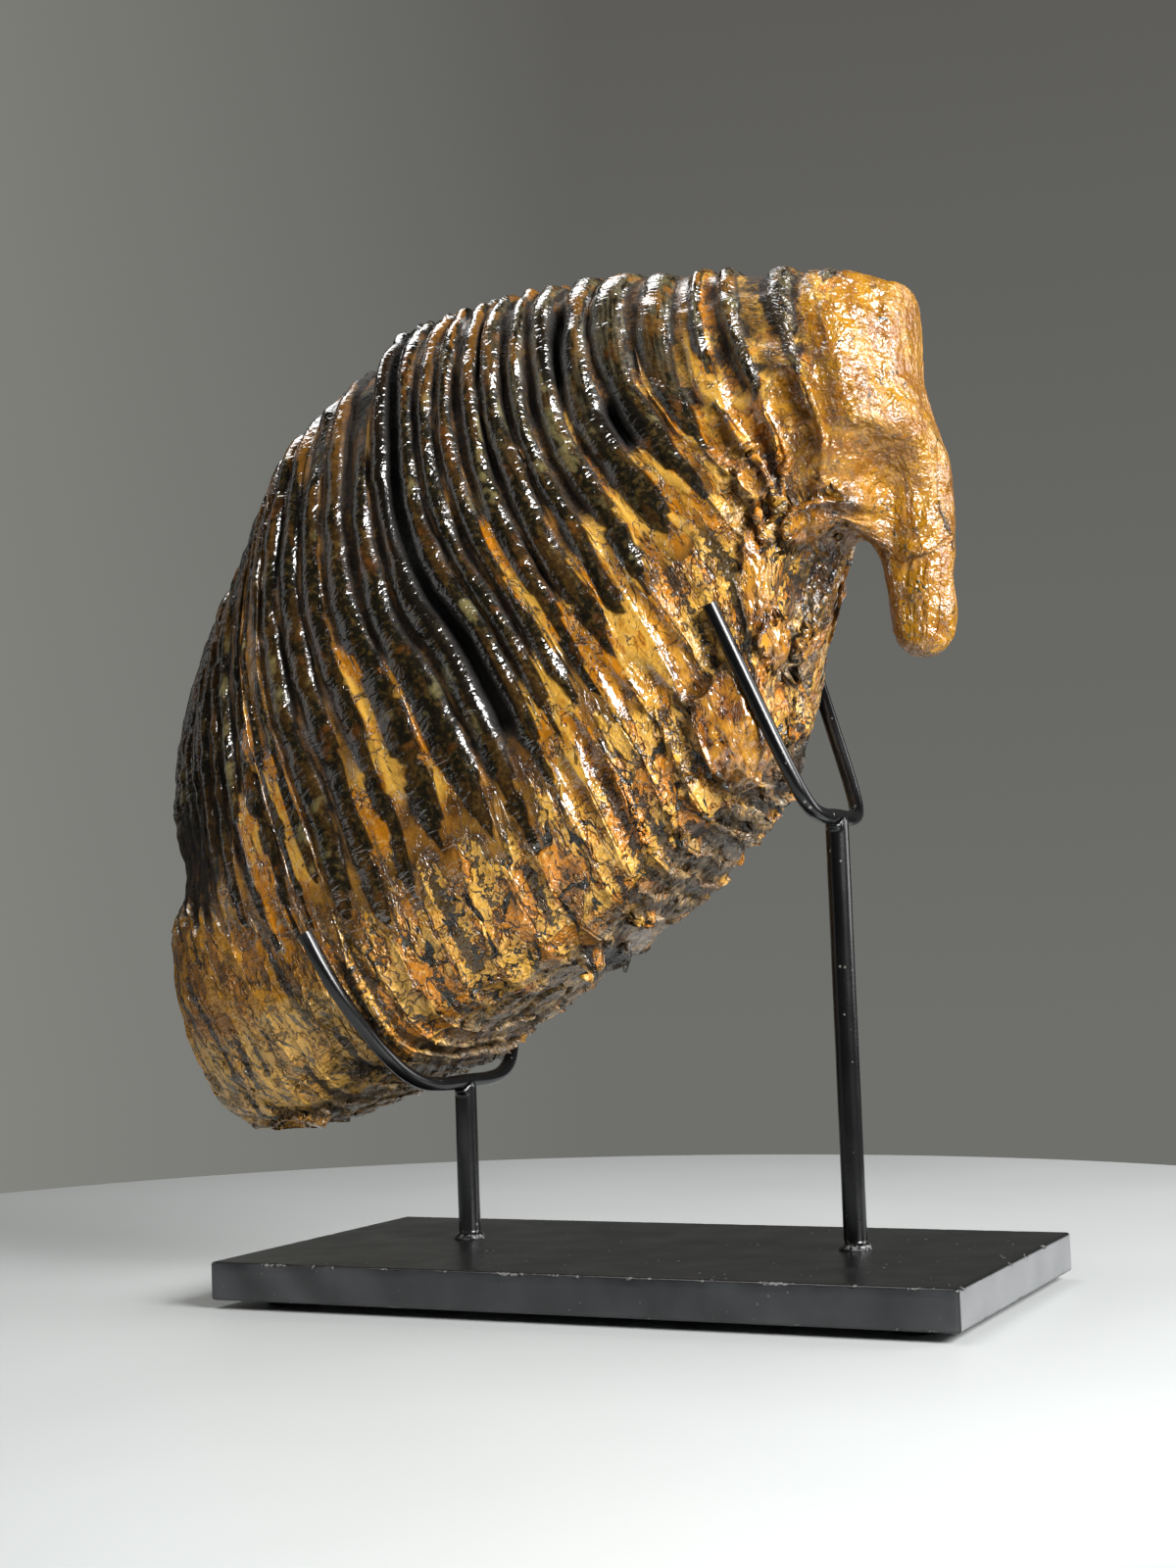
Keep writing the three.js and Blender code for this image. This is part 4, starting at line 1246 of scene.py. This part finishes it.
# Enamel is olive black with gold flecks, pale worn patches and fine cracks across each ridge.
def paintEnamel(tree, read, look):
    enamelCells = cellSpace(tree, look.space, (6 * mm, 2 * mm, 6 * mm), 4 * mm, 3 * mm)
    enamelEdge = put(tree, "ShaderNodeTexVoronoi", {"Vector": enamelCells, "Scale": 1},
                     feature="DISTANCE_TO_EDGE")
    crackle = put(tree, "ShaderNodeMapRange", {"Value": enamelEdge, "From Max": 0.14, "To Min": 1,
                                               "To Max": 0})
    fleck = put(tree, "ShaderNodeMapRange", {"Value": look.small, "From Min": 0.5, "From Max": 0.75,
                                             "To Max": 0.6})
    olive = put(tree, "ShaderNodeMix", {0: look.medium, 6: "#0a0905", 7: "#221d10"}, out=2, data_type="RGBA")
    flecked = put(tree, "ShaderNodeMix", {0: fleck, 6: olive, 7: "#675025"}, out=2, data_type="RGBA")
    patch = put(tree, "ShaderNodeTexNoise", {"Vector": look.space, "Scale": 1 / (9 * mm), "Detail": 3,
                                             "Roughness": 0.6})
    wornThin = put(tree, "ShaderNodeMapRange",
                   {"Value": patch, "From Min": 0.6, "From Max": 0.68, "To Max": 0.7})
    thinned = put(tree, "ShaderNodeMix", {0: wornThin, 6: flecked, 7: "#7f744b"}, out=2, data_type="RGBA")
    rusty = put(tree, "ShaderNodeMapRange", {"Value": patch, "From Min": 0.4, "From Max": 0.33,
                                             "To Max": 0.5})
    stained = put(tree, "ShaderNodeMix", {0: rusty, 6: thinned, 7: "#6e3f14"}, out=2, data_type="RGBA")
    # worn faces near the chewing edge of the front plates show pale grey streaks: partly worn enamel, partly
    # a painted sheen for their glossy highlights
    frontward = put(tree, "ShaderNodeMapRange", {"Value": read["place"], "From Min": 13.5, "From Max": 16})
    upward = put(tree, "ShaderNodeMapRange", {"Value": read["down"], "From Min": 0.42, "From Max": 0.15})
    wornSheenFace = put(tree, "ShaderNodeMath", {0: frontward, 1: upward}, operation="MULTIPLY")
    wornSheenStreak = put(tree, "ShaderNodeMapRange", {"Value": look.streak, "From Min": 0.42, "From Max": 0.6})
    greyedWithSheen = put(tree, "ShaderNodeMath", {0: wornSheenFace, 1: wornSheenStreak}, operation="MULTIPLY")
    worn = put(tree, "ShaderNodeMix", {0: greyedWithSheen, 6: stained, 7: "#5f5743"}, out=2, data_type="RGBA")
    # the ridges' tips and edges are stained ochre in places
    tipward = put(tree, "ShaderNodeMapRange", {"Value": read["down"], "From Min": 0.25, "From Max": 0.04,
                                               "To Min": 0.1, "To Max": 0.8})
    tipPatch = put(tree, "ShaderNodeMapRange", {"Value": look.tone, "From Min": 0.5, "From Max": 0.56})
    tipShare = put(tree, "ShaderNodeMath", {0: tipward, 1: tipPatch}, operation="MULTIPLY")
    tipped = put(tree, "ShaderNodeMix", {0: tipShare, 6: worn, 7: "#9c6826"}, out=2, data_type="RGBA")
    look.crackShare = put(tree, "ShaderNodeMath", {0: crackle, 1: 0.35}, operation="MULTIPLY")
    look.enamel = put(tree, "ShaderNodeMix", {0: look.crackShare, 6: tipped, 7: "#070604"}, out=2,
                      data_type="RGBA")


# Root and wide cement bands are flakes of pale tan, ochre and brown, scribbled with fine dark lines.
def paintDentine(tree, read, look):
    look.tanShare = put(tree, "ShaderNodeMapRange", {"Value": look.tone, "From Min": 0.46, "From Max": 0.53})
    tan = put(tree, "ShaderNodeMix", {0: look.tanShare, 6: "#c47a12", 7: "#dfa945"}, out=2, data_type="RGBA")
    brownShare = put(tree, "ShaderNodeMapRange",
                     {"Value": look.medium, "From Min": 0.5, "From Max": 0.62, "To Max": 0.65})
    browned = put(tree, "ShaderNodeMix", {0: brownShare, 6: tan, 7: "#925f19"}, out=2, data_type="RGBA")
    look.paleShare = put(tree, "ShaderNodeMapRange",
                         {"Value": look.small, "From Min": 0.55, "From Max": 0.66, "To Max": 0.45})
    earth = put(tree, "ShaderNodeMix", {0: look.paleShare, 6: browned, 7: "#e4be76"}, out=2, data_type="RGBA")
    scribble = wander(tree, look.space, (3 * mm, 8 * mm, 6 * mm), 0.7, look.large, (0.006, 0.026))
    shortLines = wander(tree, look.space, (7 * mm, 3.4 * mm, 6 * mm), 0.5, look.medium, (-0.012, 0.018))
    flakeEdge = contour(tree, look.tone, 0.462, look.medium, (0.003, 0.016))
    look.flake = put(tree, "ShaderNodeMapRange", {"Value": look.tone, "From Min": 0.465, "From Max": 0.495})
    lines = put(tree, "ShaderNodeMath", {0: scribble, 1: shortLines}, operation="MAXIMUM")
    look.fineLines = put(tree, "ShaderNodeMath", {0: lines, 1: flakeEdge}, operation="MAXIMUM")
    look.inked = put(tree, "ShaderNodeMath", {0: look.fineLines, 1: 0.8}, operation="MULTIPLY")
    look.scribbled = put(tree, "ShaderNodeMix", {0: look.inked, 6: earth, 7: "#2a1e10"}, out=2,
                         data_type="RGBA")


# Cement between the ridges is dark amber to rust, paling to the root's ochre, and darker deep in the grooves.
def paintCement(tree, read, look):
    look.rustShare = put(tree, "ShaderNodeMapRange",
                         {"Value": look.medium, "From Min": 0.4, "From Max": 0.62})
    amber = put(tree, "ShaderNodeMix", {0: look.rustShare, 6: "#8a5f26", 7: "#4a2e12"}, out=2,
                data_type="RGBA")
    amberShare = put(tree, "ShaderNodeMapRange", {"Value": read["ochre"], "To Min": 0.12, "To Max": 0.92})
    cementLined = put(tree, "ShaderNodeMix", {0: amberShare, 6: amber, 7: look.scribbled}, out=2,
                      data_type="RGBA")
    # deep in the grooves the cement is painted near black: partly dirt, partly painted shade
    dirtAndShadeDepth = put(tree, "ShaderNodeMath", {0: look.small, 1: 3.2, 2: read["depth"]},
                    operation="MULTIPLY_ADD")
    dirtAndShade = put(tree, "ShaderNodeMapRange", {"Value": dirtAndShadeDepth, "From Min": 3.5, "From Max": 5.0,
                                            "To Max": 0.9})
    look.cement = put(tree, "ShaderNodeMix", {0: dirtAndShade, 6: cementLined, 7: "#0d0804"}, out=2, data_type="RGBA")


# The root's crevices and creases are filled with grey-green silt, streaked along the plates.
def fillCrevices(tree, read, look):
    lower = put(tree, "ShaderNodeMapRange", {"Value": read["down"], "From Min": 0.66, "From Max": 0.8,
                                             "To Min": 0.2})
    crevice = crevices(tree, look.space, look.point)
    sparser = put(tree, "ShaderNodeMapRange", {"Value": read["place"], "From Min": 4.5, "From Max": 7.5,
                                               "To Min": 0.25})
    sparse = put(tree, "ShaderNodeMath", {0: lower, 1: sparser}, operation="MULTIPLY")
    bigCrack = put(tree, "ShaderNodeMath", {0: crevice, 1: sparse}, operation="MULTIPLY")
    creaseNoise = put(tree, "ShaderNodeMath", {0: look.small, 1: 1.6, 2: read["crease"]},
                      operation="MULTIPLY_ADD")
    creased = put(tree, "ShaderNodeMapRange", {"Value": creaseNoise, "From Min": 1.25, "From Max": 1.35,
                                               "To Max": 0.9})
    look.creviced = put(tree, "ShaderNodeMath", {0: creased, 1: bigCrack}, operation="MAXIMUM")
    look.rearward = put(tree, "ShaderNodeMapRange",
                        {"Value": read["place"], "From Min": 7.2, "From Max": 5.6})
    look.siltShare = put(tree, "ShaderNodeMapRange",
                         {"Value": look.streak, "From Min": 0.4, "From Max": 0.62})
    greySilt = put(tree, "ShaderNodeMix", {0: look.siltShare, 6: "#17130c", 7: "#3b372a"}, out=2,
                   data_type="RGBA")
    look.silt = put(tree, "ShaderNodeMix", {0: bigCrack, 6: "#1b130a", 7: greySilt}, out=2, data_type="RGBA")


# The rear end has a golden band under the enamel, then pale tan with slanting grey dashes.
def paintRear(tree, read, look):
    bandNoise = put(tree, "ShaderNodeMath", {0: look.small, 1: 0.08, 2: read["down"]},
                    operation="MULTIPLY_ADD")
    bandEdge = put(tree, "ShaderNodeMath", {0: look.medium, 1: 0.1, 2: bandNoise}, operation="MULTIPLY_ADD")
    inBand = put(tree, "ShaderNodeMapRange", {"Value": bandEdge, "From Min": 0.905, "From Max": 0.895})
    band = put(tree, "ShaderNodeMath", {0: look.rearward, 1: inBand}, operation="MULTIPLY", use_clamp=True)
    goldenTone = put(tree, "ShaderNodeMix", {0: look.tanShare, 6: "#a2680c", 7: "#cc8c14"}, out=2,
                     data_type="RGBA")
    outOfBand = put(tree, "ShaderNodeMath", {0: look.rearward, 1: band}, operation="SUBTRACT")
    paled = put(tree, "ShaderNodeMath", {0: outOfBand, 1: 0.6}, operation="MULTIPLY")
    paleRear = put(tree, "ShaderNodeMix", {0: paled, 6: look.scribbled, 7: "#e6b257"}, out=2,
                   data_type="RGBA")
    golden = put(tree, "ShaderNodeMix", {0: band, 6: paleRear, 7: goldenTone}, out=2, data_type="RGBA")
    inking = put(tree, "ShaderNodeMath", {0: look.rearward, 1: 0.6}, operation="MULTIPLY")
    bandInk = put(tree, "ShaderNodeMath", {0: look.fineLines, 1: inking}, operation="MULTIPLY")
    goldenLined = put(tree, "ShaderNodeMix", {0: bandInk, 6: golden, 7: "#2e210f"}, out=2, data_type="RGBA")
    slanted = put(tree, "ShaderNodeVectorRotate", {"Vector": look.space, "Angle": 0.5},
                  rotation_type="Z_AXIS")
    dashPlace = put(tree, "ShaderNodeVectorMath", {0: slanted, 1: (1 / 1.1, 1 / 5.5, 1 / 4)},
                    operation="MULTIPLY")
    dashNoise = put(tree, "ShaderNodeTexNoise", {"Vector": dashPlace, "Scale": 1 / mm, "Detail": 1})
    dash = put(tree, "ShaderNodeMapRange", {"Value": dashNoise, "From Min": 0.6, "From Max": 0.64,
                                            "To Max": 0.8})
    dashShare = put(tree, "ShaderNodeMath", {0: dash, 1: outOfBand}, operation="MULTIPLY")
    look.dashed = put(tree, "ShaderNodeMix", {0: dashShare, 6: goldenLined, 7: "#54554a"}, out=2,
                      data_type="RGBA")


# The whole root: silt in its crevices, rich ochre where it is stained, and a grey-brown broken underside.
def paintRoot(tree, read, look):
    silted = put(tree, "ShaderNodeMix", {0: look.creviced, 6: look.dashed, 7: look.silt}, out=2,
                 data_type="RGBA")
    look.richShare = put(tree, "ShaderNodeMath", {0: read["ochre"], 1: 0.7}, operation="MULTIPLY",
                         use_clamp=True)
    richTone = put(tree, "ShaderNodeMix", {0: look.rustShare, 6: "#cf8f2c", 7: "#8a4f18"}, out=2,
                   data_type="RGBA")
    rich = put(tree, "ShaderNodeMix", {0: look.inked, 6: richTone, 7: "#2a1e10"}, out=2, data_type="RGBA")
    root = put(tree, "ShaderNodeMix", {0: look.richShare, 6: silted, 7: rich}, out=2, data_type="RGBA")
    lumpless = put(tree, "ShaderNodeMath", {0: read["lump"], 1: -0.3, 2: read["down"]},
                   operation="MULTIPLY_ADD")
    under = put(tree, "ShaderNodeMath", {0: look.medium, 1: 0.14, 2: lumpless}, operation="MULTIPLY_ADD")
    underShare = put(tree, "ShaderNodeMapRange",
                     {"Value": under, "From Min": 1.02, "From Max": 1.05, "To Max": 0.75})
    greyBrown = put(tree, "ShaderNodeMix", {0: look.siltShare, 6: "#3b3022", 7: "#8d7b60"}, out=2,
                    data_type="RGBA")
    look.rootWhole = put(tree, "ShaderNodeMix", {0: underShare, 6: root, 7: greyBrown}, out=2,
                         data_type="RGBA")


# The front end is clear bright ochre with thin dark veins.
def paintFront(tree, read, look):
    look.frontShare = put(tree, "ShaderNodeMapRange",
                          {"Value": read["place"], "From Min": 21.5, "From Max": 23.8})
    vein = wander(tree, look.point, (10 * mm, 10 * mm, 15 * mm), 1.0, look.medium, (-0.004, 0.011))
    brightShare = put(tree, "ShaderNodeMapRange", {"Value": look.tone, "From Min": 0.4, "From Max": 0.58})
    bright = put(tree, "ShaderNodeMix", {0: brightShare, 6: "#8f5805", 7: "#b0790d"}, out=2, data_type="RGBA")
    speckled = put(tree, "ShaderNodeMix", {0: look.paleShare, 6: bright, 7: "#c0902c"}, out=2,
                   data_type="RGBA")
    veined = put(tree, "ShaderNodeMix", {0: vein, 6: speckled, 7: "#37331f"}, out=2, data_type="RGBA")
    look.rootAll = put(tree, "ShaderNodeMix", {0: look.frontShare, 6: look.rootWhole, 7: veined}, out=2,
                       data_type="RGBA")


# Crown and root meet along a ragged line, and stains and painted shade in the open gaps lie over both.
def joinColours(tree, read, look):
    gapShade = put(tree, "ShaderNodeMix", {0: read["cement"], 6: "#0a0805", 7: look.cement}, out=2,
                   data_type="RGBA")
    crownFlat = put(tree, "ShaderNodeMix", {0: read["enamel"], 6: gapShade, 7: look.enamel}, out=2,
                    data_type="RGBA")
    # painted shade: a dark line along the crease where each ridge meets its cement
    middled = put(tree, "ShaderNodeMath", {0: read["enamel"], 1: 0.5}, operation="SUBTRACT")
    offEdge = put(tree, "ShaderNodeMath", {0: middled}, operation="ABSOLUTE")
    onCrown = put(tree, "ShaderNodeMapRange", {"Value": read["root"], "To Min": 0.85, "To Max": 0})
    line = put(tree, "ShaderNodeMapRange", {"Value": offEdge, "From Max": 0.42, "To Min": onCrown,
                                            "To Max": 0})
    crown = put(tree, "ShaderNodeMix", {0: line, 6: crownFlat, 7: "#0a0603"}, out=2, data_type="RGBA")
    finer = put(tree, "ShaderNodeMath", {0: look.small, 1: 0.9, 2: read["root"]}, operation="MULTIPLY_ADD")
    ragged = put(tree, "ShaderNodeMath", {0: look.medium, 1: 1.0, 2: finer}, operation="MULTIPLY_ADD")
    rootShare = put(tree, "ShaderNodeMapRange", {"Value": ragged, "From Min": 1.4, "From Max": 1.52})
    joinedPlain = put(tree, "ShaderNodeMix", {0: rootShare, 6: crown, 7: look.rootAll}, out=2,
                      data_type="RGBA")
    # at the rear a pale grey crust lies where the enamel ends
    offSeam = put(tree, "ShaderNodeMath", {0: ragged, 1: 1.5, 2: 0.1}, operation="COMPARE")
    crust = put(tree, "ShaderNodeMath", {0: offSeam, 1: look.rearward}, operation="MULTIPLY")
    crustShare = put(tree, "ShaderNodeMath", {0: crust, 1: 0.55}, operation="MULTIPLY", use_clamp=True)
    joined = put(tree, "ShaderNodeMix", {0: crustShare, 6: joinedPlain, 7: "#8a867a"}, out=2,
                 data_type="RGBA")
    # stain carries real stains and the painted shade of the creases round the lumps; open gaps are painted
    # dark as shade
    spotty = put(tree, "ShaderNodeMath", {0: look.small, 1: 1.4}, operation="MULTIPLY")
    stainNoise = put(tree, "ShaderNodeMath", {0: read["stain"], 1: spotty}, operation="MULTIPLY")
    dark = put(tree, "ShaderNodeMath", {0: read["gap"], 1: stainNoise}, operation="MAXIMUM")
    stainAndShadeShare = put(tree, "ShaderNodeMapRange",
                    {"Value": dark, "From Min": 0.2, "From Max": 0.75, "To Max": 0.92})
    look.colour = put(tree, "ShaderNodeMix", {0: stainAndShadeShare, 6: joined, 7: "#120e09"}, out=2, data_type="RGBA")


# The clear coat lies thickest on the ridges. It is thin on the root and the front, and gone in deep grooves.
def polish(tree, read, look):
    glossy = put(tree, "ShaderNodeMapRange", {"Value": look.small, "To Min": 0.12, "To Max": 0.3})
    matt = put(tree, "ShaderNodeMapRange", {"Value": look.small, "To Min": 0.25, "To Max": 0.6})
    dull = put(tree, "ShaderNodeMath", {0: read["root"], 1: look.frontShare}, operation="SUBTRACT",
               use_clamp=True)
    duller = put(tree, "ShaderNodeMath", {0: dull, 1: look.richShare}, operation="SUBTRACT", use_clamp=True)
    frontMatt = put(tree, "ShaderNodeMath", {0: look.frontShare, 1: 0.55}, operation="MULTIPLY")
    mattShare = put(tree, "ShaderNodeMath", {0: duller, 1: frontMatt}, operation="MAXIMUM")
    surfaceRough = put(tree, "ShaderNodeMix", {0: mattShare, 2: glossy, 3: matt}, data_type="FLOAT")
    inGroove = put(tree, "ShaderNodeMapRange", {"Value": read["depth"], "From Min": 1.4, "From Max": 2.8})
    notRoot = put(tree, "ShaderNodeMapRange", {"Value": read["root"], "To Min": 1, "To Max": 0})
    grooveShare = put(tree, "ShaderNodeMath", {0: inGroove, 1: notRoot}, operation="MULTIPLY")
    look.rough = put(tree, "ShaderNodeMix", {0: grooveShare, 2: surfaceRough, 3: 0.7}, data_type="FLOAT")
    thinner = put(tree, "ShaderNodeMath", {0: mattShare, 1: -0.65, 2: 1}, operation="MULTIPLY_ADD")
    look.coat = put(tree, "ShaderNodeMath", {0: thinner, 1: grooveShare}, operation="SUBTRACT",
                    use_clamp=True)

    pattern = put(tree, "ShaderNodeMix", {0: read["root"], 2: look.crackShare, 3: look.creviced},
                  data_type="FLOAT")
    ringed = put(tree, "ShaderNodeMath", {0: look.ringing, 1: 0.4, 2: look.small}, operation="MULTIPLY_ADD")
    scored = put(tree, "ShaderNodeMath", {0: look.fineLines, 1: read["enamel"]}, operation="SUBTRACT",
                 use_clamp=True)
    deepest = put(tree, "ShaderNodeMath", {0: pattern, 1: scored}, operation="MAXIMUM")
    cut = put(tree, "ShaderNodeMath", {0: deepest, 1: -0.8, 2: ringed}, operation="MULTIPLY_ADD")
    flaked = put(tree, "ShaderNodeMath", {0: look.flake, 1: duller}, operation="MULTIPLY")
    stepped = put(tree, "ShaderNodeMath", {0: flaked, 1: 1.4, 2: cut}, operation="MULTIPLY_ADD")
    lumpy = put(tree, "ShaderNodeMath", {0: look.frontShare, 1: look.medium}, operation="MULTIPLY")
    dented = put(tree, "ShaderNodeMath", {0: lumpy, 1: 6, 2: stepped}, operation="MULTIPLY_ADD")
    coarser = put(tree, "ShaderNodeMath", {0: mattShare, 1: 1.55, 2: 0.65}, operation="MULTIPLY_ADD")
    carved = put(tree, "ShaderNodeMath", {0: dented, 1: coarser}, operation="MULTIPLY")
    look.skin = put(tree, "ShaderNodeBump", {"Strength": 1.0, "Distance": 0.36 * mm, "Height": carved})


# Fossil tooth, sealed with a clear gloss: near-black enamel, amber cement, tan root dentine with dark
# cracks. read holds what the mesh knows at each point, and look gathers the patterns and colours that the
# layers share.
def fossilMaterial():
    material, tree = newMaterial("polishedFossilTooth")
    read = {name: put(tree, "ShaderNodeAttribute", attribute_name=name, out="Fac") for name in tooth["marks"]}
    look = SimpleNamespace()
    look.point = put(tree, "ShaderNodeTexCoord", out="Object")
    look.space = put(tree, "ShaderNodeAttribute", attribute_name="plateSpace", out="Vector")
    layers = (shareNoises, paintEnamel, paintDentine, paintCement, fillCrevices, paintRear, paintRoot,
              paintFront, joinColours, polish)
    for layer in layers:
        layer(tree, read, look)
    shader = put(tree, "ShaderNodeBsdfPrincipled", {
        "Base Color": look.colour, "Roughness": look.rough, "Normal": look.skin, "IOR": 1.5,
        "Coat Weight": look.coat, "Coat IOR": 2.0, "Coat Roughness": 0.1, "Coat Normal": look.skin,
    })
    put(tree, "ShaderNodeOutputMaterial", {"Surface": shader})
    return material


def addTooth():
    surface, values = toothGrid()
    mesh = meshFromGrid("mammothTooth", surface)
    for name in tooth["marks"]:
        setAttribute(mesh, name, values[name])
    run = np.stack([values["place"] * tooth["placeWidth"], values["run"], surface[..., 1]], axis=-1)
    setAttribute(mesh, "plateSpace", run * mm, "FLOAT_VECTOR")
    piece = addObject("mammothTooth", mesh)
    runTree(piece, skinTree(fossilMaterial()), {
        "Crack depth": relief["crackDepth"] * mm, "Chip depth": relief["chipDepth"] * mm,
        "Wrinkle depth": relief["grain"] * mm,
    })
    makeRoom(piece.data)
    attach(piece, "root")
    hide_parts("tooth")
    print("tooth:", len(piece.data.polygons), "faces")


addTooth()
